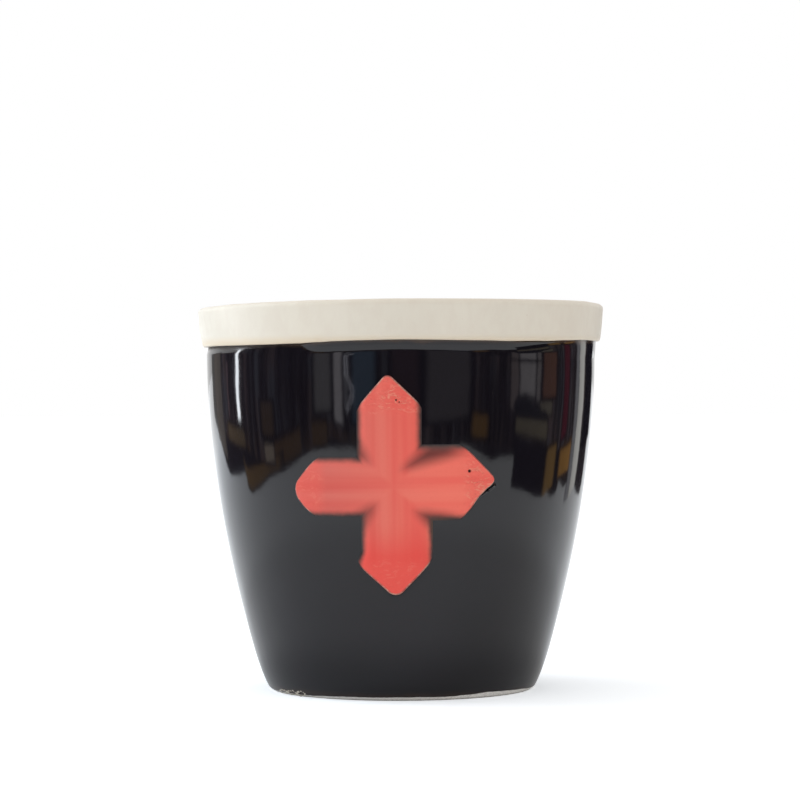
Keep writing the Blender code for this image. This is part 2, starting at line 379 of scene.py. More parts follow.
def steps(low, high, spacing):
    """Values from low to high, about a spacing apart."""
    return evenly(low, high, max(1, round(abs(high - low) / spacing)))


def quarter(begin, end, count, steep=False):
    """The points of a quarter round after its first. It sets out level, or else steeply."""
    (begin_x, begin_z), (end_x, end_z) = begin, end
    points = []
    for angle in evenly(0.0, math.pi / 2, count)[1:]:
        slow, quick = 1.0 - math.cos(angle), math.sin(angle)
        share_x, share_z = (slow, quick) if steep else (quick, slow)
        points.append((begin_x + (end_x - begin_x) * share_x, begin_z + (end_z - begin_z) * share_z))
    return points


# Modelling


def start(add, **options):
    """Adds a primitive with nothing else selected and opens it in edit mode, all selected."""
    bpy.ops.object.select_all(action="DESELECT")
    add(**options)
    piece = bpy.context.object
    bpy.ops.object.transform_apply(location=True, rotation=True, scale=True)
    bpy.ops.object.mode_set(mode="EDIT")
    bpy.ops.mesh.select_all(action="SELECT")
    return piece


def draw_line(points):
    """Draws a line point by point, in edit mode, and leaves it all selected."""
    piece = start(bpy.ops.mesh.primitive_plane_add, size=MM, location=points[0])
    bpy.ops.mesh.merge(type="CENTER")
    for here, there in zip(points, points[1:]):
        step = tuple(after - before for before, after in zip(here, there))
        bpy.ops.mesh.extrude_vertices_move(TRANSFORM_OT_translate={"value": step})
    bpy.ops.mesh.select_all(action="SELECT")
    return piece


def turn(outline):
    """Draws an outline of radii and heights, and spins it about the jar's axis into one closed skin."""
    piece = draw_line([(radius, 0.0, z) for radius, z in outline])
    bpy.ops.mesh.spin(steps=TURN_STEPS, angle=math.tau, center=(0, 0, 0), axis=(0, 0, 1))
    close_up()
    bpy.ops.object.mode_set(mode="OBJECT")
    return piece


def close_up():
    """Merges doubled points and turns every face outwards, in edit mode."""
    bpy.ops.mesh.select_all(action="SELECT")
    bpy.ops.mesh.remove_doubles(threshold=MERGE_DISTANCE)
    bpy.ops.mesh.normals_make_consistent(inside=False)


def work(piece, move):
    """Moves each point of a piece, as a sculptor's hand would: move gets the point and returns its new place."""
    for point in piece.data.vertices:
        point.co = move(point.co)
    piece.data.update()


def by_hand(outline, piece):
    """Gives a turned piece the waver of the wheel and the collar's uneven foot, which every layer shares."""
    def move(point):
        radius = math.hypot(point.x, point.y)
        if radius < MM:
            return point
        angle = math.atan2(point.y, point.x)
        moved = outline.strays(angle, point.z) * smooth(radius / outline.foot) + outline.leans(angle, point.z)
        share = 1.0 + moved / radius
        rise = outline.settles(angle, point.z) if radius > outline.foot else 0.0
        return Vector((point.x * share, point.y * share, point.z + rise))

    work(piece, move)


def hand_over(piece, name, material, slot, *nodes):
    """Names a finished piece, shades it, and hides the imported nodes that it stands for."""
    piece.name = name
    piece.data.name = name
    bpy.ops.object.select_all(action="DESELECT")
    piece.select_set(True)
    bpy.context.view_layer.objects.active = piece
    bpy.ops.object.shade_smooth_by_angle(angle=SHARP_ANGLE)
    piece.data.materials.clear()
    piece.data.materials.append(material)
    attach(piece, BODY)
    if nodes:
        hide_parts(*nodes)


# Materials


class Value:
    """A shader socket in an expression: arithmetic on it adds the Math nodes that work it out."""

    def __init__(self, finish, socket):
        self.finish = finish
        self.socket = socket

    def _math(self, operation, *values):
        return self.finish.node("ShaderNodeMath", {"operation": operation}, dict(enumerate(values)))

    def __add__(self, other):
        return self._math("ADD", self, other)

    def __radd__(self, other):
        return self._math("ADD", other, self)

    def __sub__(self, other):
        return self._math("SUBTRACT", self, other)

    def __rsub__(self, other):
        return self._math("SUBTRACT", other, self)

    def __mul__(self, other):
        return self._math("MULTIPLY", self, other)

    def __rmul__(self, other):
        return self._math("MULTIPLY", other, self)

    def __abs__(self):
        return self._math("ABSOLUTE", self)

    def __pow__(self, other):
        return self._math("POWER", self, other)

    def most(self, other):
        return self._math("MAXIMUM", self, other)

    def rises(self, low, high, begin=0.0, end=1.0):
        """0 below low, 1 above high, and a smooth rise between."""
        return self.finish.node(
            "ShaderNodeMapRange", {"interpolation_type": "SMOOTHSTEP", "clamp": True},
            {"Value": self, "From Min": low, "From Max": high, "To Min": begin, "To Max": end},
        )

    def falls(self, low, high):
        """1 below low, 0 above high."""
        return self.rises(low, high, 1.0, 0.0)


class Finish:
    """One material of the jar or its stage, or the world, and the nodes that make it."""

    def __init__(self, name, kind="materials", shader="Principled BSDF", **settings):
        self.material = getattr(bpy.data, kind).new(name)
        self.material.use_nodes = True
        self.tree = self.material.node_tree
        self.shader = self.tree.nodes[shader]
        for socket, value in settings.items():
            self.shader.inputs[socket.replace("_", " ")].default_value = value

    def node(self, kind, settings=None, inputs=None, output=0):
        """Adds a node, gives it its settings and then its sockets, and returns one of its outputs."""
        node = self.tree.nodes.new(kind)
        for name, value in (settings or {}).items():
            setattr(node, name, value)
        for name, value in (inputs or {}).items():
            if isinstance(value, Value):
                self.tree.links.new(value.socket, node.inputs[name])
            else:
                node.inputs[name].default_value = value
        return Value(self, node.outputs[output])

    def feed(self, socket, value):
        """Feeds one of the surface shader's sockets."""
        self.tree.links.new(value.socket, self.shader.inputs[socket])

    def show(self, shader):
        """Puts another shader in the place of the surface's own."""
        self.tree.links.new(shader.socket, self.tree.nodes["Material Output"].inputs["Surface"])

    def shine(self, light, strength=1.0):
        """A shader that gives light of its own."""
        return self.node("ShaderNodeEmission", {}, {"Color": light, "Strength": strength})

    def rays(self):
        """1 on what the camera sees by itself, and 1 on what it sees mirrored or through glass."""
        camera = self.node("ShaderNodeLightPath", output="Is Camera Ray")
        sockets = camera.socket.node.outputs
        return camera, Value(self, sockets["Is Glossy Ray"]).most(Value(self, sockets["Is Transmission Ray"]))

    def place(self):
        """Where on the jar a point is, in metres."""
        return self.node("ShaderNodeTexCoord", output="Object")

    def axes(self, place, scale=1.0):
        """The three coordinates of a place, each multiplied by a scale."""
        split = self.node("ShaderNodeSeparateXYZ", {}, {"Vector": place})
        sockets = split.socket.node.outputs
        return [Value(self, socket) * scale for socket in sockets]

    def stretched(self, place, x, y, z):
        """A place with each axis multiplied, which squeezes what is drawn on it."""
        return self.node("ShaderNodeMapping", {}, {"Vector": place, "Scale": (x, y, z)})

    def clouds(self, place, size, detail=2.0, roughness=0.5, distortion=0.0):
        """Soft noise from 0 to 1, whose blobs are about a size across."""
        return self.node(
            "ShaderNodeTexNoise", {},
            {"Vector": place, "Scale": 1.0 / size, "Detail": detail, "Roughness": roughness, "Distortion": distortion},
        )

    def specks(self, place, size, reach):
        """1 at the heart of scattered specks that are a size apart, falling to 0 at a share of that distance."""
        far = self.node("ShaderNodeTexVoronoi", {}, {"Vector": place, "Scale": 1.0 / size}, "Distance")
        return far.falls(0.0, reach)

    def blend(self, share, one, other):
        """A colour that goes from one to the other."""
        return self.node(
            "ShaderNodeMix", {"data_type": "RGBA", "blend_type": "MIX", "clamp_factor": True},
            {0: share, 6: colour(one), 7: colour(other)}, 2,
        )

    def bump(self, height, depth):
        """A normal that follows a height from 0 to 1, a depth high."""
        return self.node("ShaderNodeBump", {}, {"Height": height, "Strength": 1.0, "Distance": depth})


def colour(value):
    """A socket's value for a colour given as three numbers; a link passes through."""
    return value if isinstance(value, Value) else (*value[:3], 1.0)


def tinted(base, share):
    """A colour made lighter or darker."""
    return tuple(min(channel * share, 1.0) for channel in base)


def radius_of(x, y):
    """A distance, from its two parts."""
    return (x * x + y * y) ** 0.5


def strongest(masks):
    """The largest of several masks."""
    total, *others = masks
    for mask in others:
        total = total.most(mask)
    return total


# Second colours: grit on the bare clay, and painted shade where it meets the table
CLAY_GRIT = (0.10, 0.075, 0.055)
CLAY_CONTACT_SHADE = (0.13, 0.12, 0.11)

# The cream glaze's mottle and grain, where it thins at its edge and over the lip, and its iron spots
CREAM_MOTTLE = (0.735, 0.660, 0.555)
CREAM_GRAIN = (0.80, 0.76, 0.68)
CREAM_THIN = (0.70, 0.55, 0.36)
CREAM_OVER_LIP = (0.72, 0.59, 0.47)
IRON_SPOT = (0.38, 0.24, 0.13)

# The black glaze's pinholes
BLACK_PIN = (0.030, 0.024, 0.020)

# The enamel: pale strokes on the plaque's left and right, its lowest arm, scratches, the brown haze in one flooded
# part, the glaze at the arms' sides, the dark dragged into the red, and pinholes
PALE_LEFT = (0.68, 0.135, 0.105)
PALE_RIGHT = (0.94, 0.185, 0.125)
RED_LOW = (0.84, 0.050, 0.036)
RED_SCRATCH = (0.92, 0.34, 0.23)
FLOOD_HAZE = (0.085, 0.036, 0.014)
FLOOD_SIDE = (0.085, 0.034, 0.026)
SMEAR = (0.14, 0.019, 0.013)
PINHOLE = (0.012, 0.007, 0.006)

# The tile's edge: rubbed with red, in shade down its side, and flooded between the arms
TILE_RUBBED = (0.42, 0.085, 0.065)
TILE_SHADED = (0.040, 0.020, 0.016)
TILE_FLOODED = (0.010, 0.008, 0.009)


def clay_finish(name, base):
    """Bare fired clay: fine grit, a little paler on the right as painted light, with painted shade where it meets the
    table.
    """
    clay = Finish(name, Roughness=0.86, IOR=1.45)
    place = clay.place()
    x, _, z = clay.axes(place, 1.0 / MM)
    grain = clay.clouds(place, 0.45 * MM, 4.0, 0.65)
    drift = clay.clouds(place, 5.0 * MM, 2.0)
    grit = clay.specks(place, 0.9 * MM, 0.22)
    # Half of this is the clay's own drifting tone, and half is painted light that pales the clay from left to right
    body = clay.blend(drift * 0.5 + x.rises(-4.0, 16.0) * 0.5, tinted(base, 0.80), tinted(base, 1.18))
    body = clay.blend(grain.rises(0.30, 0.62), tinted(base, 0.80), body)
    body = clay.blend(grit * 0.55, body, CLAY_GRIT)
    # Painted shade: a thin darker band along the very bottom of the foot, where it meets the table
    contact_shade = z.falls(0.05, 0.32) * 0.55
    clay.feed("Base Color", clay.blend(contact_shade, body, CLAY_CONTACT_SHADE))
    clay.feed("Normal", clay.bump(grain * 0.7 + grit * 0.3, 0.10 * MM))
    return clay.material


def cream_finish(colours, collar_foot):
    """Cream glaze: satin, faintly mottled, warmer where it thins at its lower edge and over the lip."""
    cream = Finish("cream_glaze", IOR=1.5)
    place = cream.place()
    x, y, z = cream.axes(place, 1.0 / MM)
    drift = cream.clouds(place, 11.0 * MM, 3.0, 0.55)
    mottle = cream.clouds(cream.stretched(place, 1.0, 1.0, 0.55), 2.6 * MM, 4.0, 0.6)
    fine = cream.clouds(place, 0.6 * MM, 2.0)
    iron = cream.specks(place, 3.4 * MM, 0.055)
    body = cream.blend(drift, tinted(colours.cream, 0.965), tinted(colours.cream, 1.035))
    body = cream.blend(mottle.rises(0.36, 0.66) * 0.45, body, CREAM_MOTTLE)
    body = cream.blend(fine.rises(0.55, 0.75) * 0.10, body, CREAM_GRAIN)
    ragged = z + (mottle - 0.5) * 1.1
    outside = radius_of(x, y).rises(45.3, 46.2)
    foot = collar_foot / MM
    thin = ragged.falls(foot - 0.5, foot + 1.5) * ragged.rises(foot - 3.0, foot - 2.0) * outside
    body = cream.blend(thin * 0.55, body, CREAM_THIN)
    over_lip = z.rises(88.2, 90.2) * outside
    body = cream.blend(over_lip * 0.22, body, CREAM_OVER_LIP)
    body = cream.blend(iron * 0.5, body, IRON_SPOT)
    cream.feed("Base Color", body)
    cream.feed("Roughness", 0.36 + mottle * 0.14)
    cream.feed("Normal", cream.bump(mottle * 0.7 + fine * 0.3, 0.035 * MM))
    return cream.material


def black_finish(colours, collar_foot):
    """Glossy black glaze: brown where it thins under the collar and at its lower edge, with a few pinholes."""
    black = Finish("black_glaze", IOR=1.48)
    place = black.place()
    x, _, z = black.axes(place, 1.0 / MM)
    drift = black.clouds(place, 14.0 * MM, 3.0)
    peel = black.clouds(place, 3.2 * MM, 2.0)
    fine = black.clouds(place, 0.7 * MM, 2.0)
    pin = black.specks(place, 5.5 * MM, 0.028)
    body = black.blend(drift, tinted(colours.black, 0.7), tinted(colours.black, 1.5))
    foot = collar_foot / MM
    ragged = z + (black.clouds(black.stretched(place, 1.0, 1.0, 0.3), 6.0 * MM, 3.0) - 0.5) * 1.5
    left = x.falls(-34.0, -8.0)
    broken = (ragged + left * 1.1).rises(foot - 1.1, foot + 0.1)
    body = black.blend(broken * (0.85 - left * 0.45), body, colours.brown)
    thin = ragged.falls(1.2, 2.0)
    body = black.blend(thin * 0.35, body, tinted(colours.brown, 0.8))
    body = black.blend(pin, body, BLACK_PIN)
    black.feed("Base Color", body)
    black.feed("Roughness", 0.045 + drift * 0.05 + pin * 0.3 + broken * (0.08 + left * 0.34))
    black.feed("Normal", black.bump(peel * 0.75 + fine * 0.06 + pin * -0.2, 0.010 * MM))
    return black.material


# Where the plaque's finishes find their place: a map of it laid flat, so wide, and how far down its side a point is
FLAT_MAP = "laid_flat"
FLAT_SPAN = 60 * MM
DEPTH_MAP = "down_the_side"

# In millimetres from the plaque's middle: how soft the arms' sides are, where their rough tips begin and are full,
# with the tips on the left and right a little longer, and where the haze lies, between the right and lower arms
SOFT_SIDE = (-1.5, 1.5)
TIP_BEGINS = 15.0
TIP_FULL = 18.5
SIDE_TIPS_LONGER = 1.04
HAZE_AT = (9.4, -9.4)

# The enamel's pinholes, each with its place and radius, and its smears, each with its apex, the way it points, how
# fast it spreads, its length and its strength
PINHOLES = ((16.6, 3.3, 0.40), (0.55, 19.05, 0.24), (1.25, 18.6, 0.17))
SMEARS = (
    (0.5, 3.0, 0.866, 0.50, 0.268, 16.0, 0.95),
    (-4.2, 4.2, -0.71, 0.71, 0.30, 12.0, 0.90),
    (-2.8, -2.8, -0.71, -0.71, 0.30, 12.0, 0.85),
    (3.2, -4.9, 0.90, -0.44, 0.34, 10.0, 0.95),
)


def laid_flat(finish):
    """Millimetres across and up from the plaque's middle, level with the table, from its own UV map."""
    place = finish.node("ShaderNodeUVMap", {"uv_map": FLAT_MAP})
    across, up, _ = finish.axes(place, FLAT_SPAN / MM)
    half = FLAT_SPAN / MM / 2
    return place, across - half, up - half


def enamel_finish(colours):
    """Red enamel in four brushed arms, which the black glaze floods between and thins into at their sides."""
    enamel = Finish("red_enamel", IOR=1.5)
    place, across, up = laid_flat(enamel)
    wobble = (enamel.clouds(place, 0.05, 3.0, 0.6) - 0.5) * 0.9
    side = across + wobble
    rise = up - wobble
    red = arms_mask(side, rise)
    upright = (abs(up) - abs(across)).rises(-1.2, 1.2)
    down_strokes = enamel.clouds(enamel.stretched(place, 1.0, 0.03, 1.0), 0.055, 2.0, 0.5)
    cross_strokes = enamel.clouds(enamel.stretched(place, 0.03, 1.0, 1.0), 0.060, 2.0, 0.5)
    strokes = down_strokes * upright + cross_strokes * (1.0 - upright)
    rightward = across.rises(-22.0, 14.0)
    pale = enamel.blend(rightward, PALE_LEFT, PALE_RIGHT)
    deep = enamel.blend(rightward, tinted(colours.red, 0.78), tinted(colours.red, 1.06))
    body = enamel.blend(strokes.rises(0.30, 0.72), deep, pale)
    body = enamel.blend(up.falls(-19.0, -7.0) * upright * 0.9, body, RED_LOW)
    grain = enamel.clouds(place, 0.011, 4.0, 0.7)
    tips = (abs(up).most(abs(across) * SIDE_TIPS_LONGER)).rises(TIP_BEGINS, TIP_FULL)
    rough = tips * (up.rises(-9.0, -6.0) * across.rises(-14.0, -12.0) * 0.75 + 0.25)
    body = enamel.blend(tips * 0.45, body, tinted(colours.red, 1.04))
    scratch = enamel.clouds(enamel.stretched(place, 1.0, 1.9, 1.0), 0.032, 4.0, 0.72, 0.9).rises(0.52, 0.61)
    inner = (abs(up) + abs(across)).falls(21.5, 23.5)
    scratch = scratch * (inner * 0.8 + 0.2)
    body = enamel.blend(rough * scratch * 0.62, body, RED_SCRATCH)
    body = enamel.blend(grain.rises(0.52, 0.75) * (0.10 + rough * 0.30), body, tinted(colours.red, 0.62))
    holes = pinhole_mask(across, up)
    haze = radius_of(across - HAZE_AT[0], up - HAZE_AT[1]).falls(1.0, 5.5)
    flooded = enamel.blend(haze * 0.8, colours.black, FLOOD_HAZE)
    flooded = enamel.blend(red.rises(0.0, 0.5), flooded, FLOOD_SIDE)
    body = enamel.blend(smear_mask(across, up), body, SMEAR)
    painted = enamel.blend(red.rises(0.18, 0.95), flooded, body)
    painted = enamel.blend(holes, painted, PINHOLE)
    enamel.feed("Base Color", painted)
    enamel.feed("Roughness", 0.34 + red * 0.16 + grain * 0.08 + holes * 0.4)
    relief = grain * (0.25 + rough * 0.6) + strokes * 0.2 + scratch * rough * 0.6
    enamel.feed("Normal", enamel.bump(relief, 0.07 * MM))
    return enamel.material


def arms_mask(across, up):
    """1 on the four arms of red and 0 where the black floods between them. Millimetres."""
    above, right = up.rises(-0.5, 0.5), across.rises(-0.5, 0.5)
    half_left = 6.75 + above * 0.80 + up.falls(-17.5, -14.0) * 0.9
    half_right = 7.7 - above * 2.3
    column = (across + half_left).rises(*SOFT_SIDE) * (half_right - across).rises(*SOFT_SIDE)
    top, bottom = 5.75 + right * 2.7, 6.05 + right * 0.75
    row = (top - up).rises(*SOFT_SIDE) * (up + bottom).rises(*SOFT_SIDE)
    return column.most(row)


def smear_mask(across, up):
    """Where the brush dragged dark glaze into the red, in wedges that open away from the middle."""
    wedges = []
    for apex_x, apex_y, toward_x, toward_y, spread, reach, strength in SMEARS:
        x, y = across - apex_x, up - apex_y
        along = x * toward_x + y * toward_y
        off = abs(x * toward_y - y * toward_x)
        wedge = (along * spread - off).rises(-1.6, 2.2) * along.rises(-0.5, 4.0)
        wedges.append(wedge * along.falls(reach * 0.7, reach * 1.2) * strength)
    return strongest(wedges)


def pinhole_mask(across, up):
    """1 inside the small holes that were left in the enamel."""
    return strongest([
        radius_of(across - x, up - y).falls(radius * 0.55, radius * 1.15) for x, y, radius in PINHOLES
    ])


def tile_finish(colours):
    """Pressed clay at the plaque's edge: pale and rubbed on its ridge, dark where the glaze has run into it."""
    tile = Finish("plaque_clay", Roughness=0.62, IOR=1.45)
    place, across, up = laid_flat(tile)
    grain = tile.clouds(place, 0.012, 4.0, 0.65)
    drift = tile.clouds(place, 0.09, 2.0)
    body = tile.blend(grain.rises(0.35, 0.65), tinted(colours.tile_clay, 0.66), colours.tile_clay)
    worn = (drift + (grain - 0.5) * 0.5).rises(0.40, 0.60)
    body = tile.blend(worn, TILE_RUBBED, body)
    side = tile.node("ShaderNodeAttribute", {"attribute_name": DEPTH_MAP}, {}, "Fac")
    body = tile.blend(side.rises(0.10, 0.45), body, TILE_SHADED)
    tile.feed("Base Color", tile.blend(arms_mask(across, up).rises(0.25, 0.85), TILE_FLOODED, body))
    tile.feed("Normal", tile.bump(grain, 0.08 * MM))
    return tile.material


# The plaque


# The corner rounds of its top, right, bottom and left, and how far each side lies inside the diamond, from its top
# or bottom end at 0 to the right or left corner at 1. Millimetres
CORNER_ROUNDS = {(1, 1): 1.5, (1, -1): 1.5, (-1, -1): 2.3, (-1, 1): 3.2}
CHIPPED_SIDE = ((0.0, 0.95), (0.3, 0.68), (0.55, 1.08), (0.72, 1.72))
SIDES_DRAWN_IN = {
    (1, 1): ((0.0, 0.72), (1.0, 0.66)),
    (-1, 1): ((0.0, 0.20), (1.0, 0.25)),
    (-1, -1): ((0.0, -0.10), (0.4, -0.42), (0.75, -0.05), (1.0, 0.45)),
    (1, -1): (*CHIPPED_SIDE, (0.84, 1.96), (0.90, 1.75), (0.96, 1.38), (1.0, 1.15)),
}

# The pooled glaze keeps clear of the chip under the right corner
POOL_DRAWN_IN = {
    **SIDES_DRAWN_IN,
    (1, -1): (*CHIPPED_SIDE, (0.83, 1.94), (0.88, 1.42), (0.92, 0.80), (0.96, 0.42), (1.0, 0.40)),
}

# A power that draws the rings of its grid closer together towards its edge
EDGE_CROWDING = 1.25

# How far the tile and the enamel sink into the black glaze between the arms, how round their edges are, how thick
# the enamel is, how far inside the tile's edge it ends, and how deep its pinholes are
TILE_SUNK = 0.35 * MM
TILE_EDGE_ROUND = 0.30 * MM
ENAMEL_SUNK = 0.25 * MM
ENAMEL_COAT = 0.35 * MM
ENAMEL_MARGIN = 0.27 * MM
ENAMEL_EDGE_ROUND = 0.18 * MM
PINHOLE_DEPTH = 0.30 * MM

# The pooled glaze's section, from the plaque's side outwards: how far out and how high, in millimetres
POOL_SECTION = (
    (-0.25, -0.30), (-0.25, 0.42), (0.0, 0.30), (0.10, 0.21), (0.22, 0.13), (0.38, 0.06), (0.60, 0.01),
    (0.85, -0.10), (0.85, -0.30), (-0.25, -0.30),
)
POOL_SUNK = 0.12 * MM


class Plaque:
    """Lays the diamond plaque out flat, and wraps it on the wall."""

    def __init__(self, shape, outline):
        self.shape = shape
        self.outline = outline
        half_width, half_height = shape.width / 2, shape.height / 2
        side = math.hypot(half_width, half_height)
        self.reach = half_width * half_height / side
        self.stretch = (half_width / self.reach / 2, half_height / self.reach / 2)

    def from_edge(self, ring):
        """How far a ring of the unit square lies inside the outline."""
        return self.reach * (1.0 - min(ring, 1.0)) ** EDGE_CROWDING

    def flat(self, s, t, inset):
        """A point of the unit square as a place on the plaque, its outline drawn in by an inset."""
        ring = max(abs(s), abs(t))
        if ring < 1e-6:
            return 0.0, 0.0
        half = (self.reach - inset) * (1.0 - self.from_edge(ring) / self.reach)
        own_round = CORNER_ROUNDS[math.copysign(1, s), math.copysign(1, t)] * MM
        corner = max(own_round - inset, 0.3 * MM) * half / (self.reach - inset)
        straight = half - corner
        way = abs(min(abs(s), abs(t)) / ring) * (straight + corner * math.pi / 4)
        if way <= straight:
            far, near = half, way
        else:
            angle = (way - straight) / corner
            far, near = straight + corner * math.cos(angle), straight + corner * math.sin(angle)
        if abs(s) >= abs(t):
            p, q = math.copysign(far, s), math.copysign(near, t)
        else:
            p, q = math.copysign(near, s), math.copysign(far, t)
        return (p - q) * self.stretch[0], (p + q) * self.stretch[1]

    def trimmed(self, across, up, sides=SIDES_DRAWN_IN):
        """Pulls a place on the leaning plaque in, as far as the side it lies nearest to is drawn in."""
        half_width, half_height = self.shape.width / 2, self.shape.height / 2
        size = math.hypot(half_width, half_height)
        moved_across, moved_up = across, up
        for (right, above), table in sides.items():
            near = right * across / half_width + above * up / half_height
            along = min(max(right * across / half_width / max(near, 0.1), 0.0), 1.0)
            pull = between(table, along) * MM * smooth((near - 0.35) / 0.65)
            moved_across -= pull * right * half_height / size
            moved_up -= pull * above * half_width / size
        return moved_across, moved_up

    def level(self, across, up):
        """Turns a place on the leaning plaque to one that is level with the table."""
        lean = self.shape.lean
        return (
            across * math.cos(lean) - up * math.sin(lean),
            across * math.sin(lean) + up * math.cos(lean),
        )

    def wrapped(self, across, up, stand):
        """A level place on the plaque, standing so far off the black glaze, in the jar's frame."""
        z = self.shape.centre + up
        radius = self.outline.outside(z)
        angle = self.shape.bearing + across / radius
        radius += stand + self.outline.strays(angle, z)
        return Vector((radius * math.cos(angle), radius * math.sin(angle), z + self.outline.settles(angle, z)))


def arms_share(across, up):
    """1 on the plaque's four raised arms and 0 where it is sunk between them. Metres."""
    x, y = across / MM, up / MM

    def inside(value):
        return smooth(value / 3.4 + 0.5)

    half_left = 7.55 if y > 0 else 6.75 + 0.9 * smooth((-14.0 - y) / 3.5)
    column = min(inside(x + half_left), inside((5.4 if y > 0 else 7.7) - x))
    row = min(inside((8.45 if x > 0 else 5.75) - y), inside(y + (6.8 if x > 0 else 6.05)))
    return max(column, row)


def plaque_skin(plaque, divisions, inset, edge_round, face, back):
    """A closed skin over the diamond, from a grid that is thickened, drawn to its outline and wrapped on the wall.

    face and back are called with a level place on the plaque and how far it lies inside the outline, and return how
    far each side of the skin stands off the black glaze."""
    piece = start(bpy.ops.mesh.primitive_grid_add, x_subdivisions=divisions, y_subdivisions=divisions, size=2.0)
    bpy.ops.mesh.extrude_region_move(TRANSFORM_OT_translate={"value": (0.0, 0.0, 1.0)})
    bpy.ops.mesh.extrude_region_move(TRANSFORM_OT_translate={"value": (0.0, 0.0, 1.0)})
    bpy.ops.mesh.select_all(action="SELECT")
    bpy.ops.mesh.normals_make_consistent(inside=False)
    bpy.ops.object.mode_set(mode="OBJECT")
    places, depths = [], []

    def move(point):
        ring = max(abs(point.x), abs(point.y))
        across, up = plaque.level(*plaque.trimmed(*plaque.flat(point.x, point.y, inset)))
        from_edge = plaque.from_edge(ring)
        top, bottom = face(across, up, from_edge), back(across, up, from_edge)
        top -= edge_round * drawn_in(1.0 - from_edge / edge_round)
        layer = round(point.z)
        stand = (bottom, bottom + (top - bottom) * 0.55, top)[layer]
        places.append((across, up))
        depths.append(1.0 - layer / 2 if ring > 0.9999 else 0.0)
        return plaque.wrapped(across, up, stand)

    work(piece, move)
    for layer in list(piece.data.uv_layers):
        piece.data.uv_layers.remove(layer)
    flat_map = piece.data.uv_layers.new(name=FLAT_MAP)
    for loop in piece.data.loops:
        across, up = places[loop.vertex_index]
        flat_map.data[loop.index].uv = (across / FLAT_SPAN + 0.5, up / FLAT_SPAN + 0.5)
    down = piece.data.attributes.new(DEPTH_MAP, "FLOAT", "POINT")
    down.data.foreach_set("value", depths)
    bpy.ops.object.mode_set(mode="EDIT")
    bpy.ops.mesh.select_all(action="SELECT")
    bpy.ops.mesh.normals_make_consistent(inside=False)
    bpy.ops.object.mode_set(mode="OBJECT")
    return piece


def pressed_relief(across, up):
    """The enamel's own unevenness: long soft brush ridges, and a rough pressed grain over the four tips."""
    point = Vector((across, up, 0.0)) / MM
    upright = abs(up) > abs(across)
    streak = (point.x / 1.9, point.y / 24, 1.0) if upright else (point.x / 24, point.y / 1.9, 7.0)
    height = 0.020 * MM * noise.noise(Vector(streak))
    tip = smooth((max(abs(point.y), abs(point.x) * SIDE_TIPS_LONGER) - TIP_BEGINS) / (TIP_FULL - TIP_BEGINS))
    rough = 0.35 if (point.y < -10 or point.x < -10) else 1.0
    grain = noise.noise(point / 0.75 + Vector((2.0, 0.0, 0.0))) + 0.6 * noise.noise(point / 0.36)
    crease = 1.0 - abs(noise.noise(Vector((point.x / 2.6, point.y / 0.8, 3.0)))) * 3.2
    height += tip * rough * MM * (0.030 * grain + 0.09 * max(crease, 0.0))
    for x, y, radius in PINHOLES:
        far = math.hypot(point.x - x, point.y - y)
        height -= PINHOLE_DEPTH * smooth(1.35 - far / radius)
    return height


# Operators: the jar's pieces


class JAR_OT_turn_pot(bpy.types.Operator):
    """Turns the clay pot: its foot ring, wall, collar and well"""

    bl_idname = "jar.turn_pot"
    bl_label = "Turn the pot"

    def execute(self, context):
        outline = Outline(context.scene.jar_shape)
        worn = FOOT_EDGE_WORN
        inner, outer = outline.outside(0.0) - FOOT_RING_WIDTH, outline.outside(0.0) - CLAY_FOOT_SET_IN
        points = [(radius, FOOT_RECESS) for radius in steps(0.0, inner - RECESS_CORNER, RECESS_SPACING)]
        points += quarter(points[-1], (inner, FOOT_RECESS - RECESS_CORNER), 8)
        points += [(inner, z) for z in steps(FOOT_RECESS - RECESS_CORNER, worn, FINE_SPACING)[1:]]
        points += quarter(points[-1], (inner + worn, 0.0), 4, steep=True)
        points += [(radius, 0.0) for radius in steps(inner + worn, outer - worn, FOOT_SPACING)[1:]]
        points += quarter(points[-1], (outer, worn), 4)
        points += outline.outside_points(worn, CLAY_FOOT_TOP, CLAY_FOOT_SET_IN, HEEL_SPACING)[1:]
        top = outline.collar_foot + CLAY_UNDER_BLACK
        points += outline.outside_points(CLAY_SET_BACK, top, CLAY_UNDER_BLACK, UNDER_BLACK_SPACING)
        points += outline.collar_points(CLAY_UNDER_CREAM, top)
        points += outline.lip_points(CLAY_UNDER_CREAM)
        points += outline.inside_points(CLAY_UNDER_CREAM, COVERED_SPACING)
        pot = turn(points)

        def chatter(point):
            """The grit of the foot, and the turning tool's rings in the recess."""
            radius = math.hypot(point.x, point.y)
            if point.z > CLAY_FOOT_TOP + 0.1 * MM or radius < MM:
                return point
            coarse, fine = GRAIN_SIZES
            grain = noise.noise(point / coarse) + 0.5 * noise.noise(point / fine)
            share = 1.0 + GRAIN_HEIGHT * grain * smooth(point.z / (0.3 * MM)) / radius
            tool = TOOL_RING_HEIGHT * math.sin(radius / TOOL_RING_PITCH * math.tau) * smooth(point.z / MM)
            return Vector((point.x * share, point.y * share, max(point.z + tool, 0.0)))

        work(pot, chatter)
        by_hand(outline, pot)
        finish = clay_finish("bare_clay", context.scene.jar_finishes.clay)
        hand_over(pot, "clay_pot", finish, "bare_stoneware", "stoneware_body")
        return {"FINISHED"}


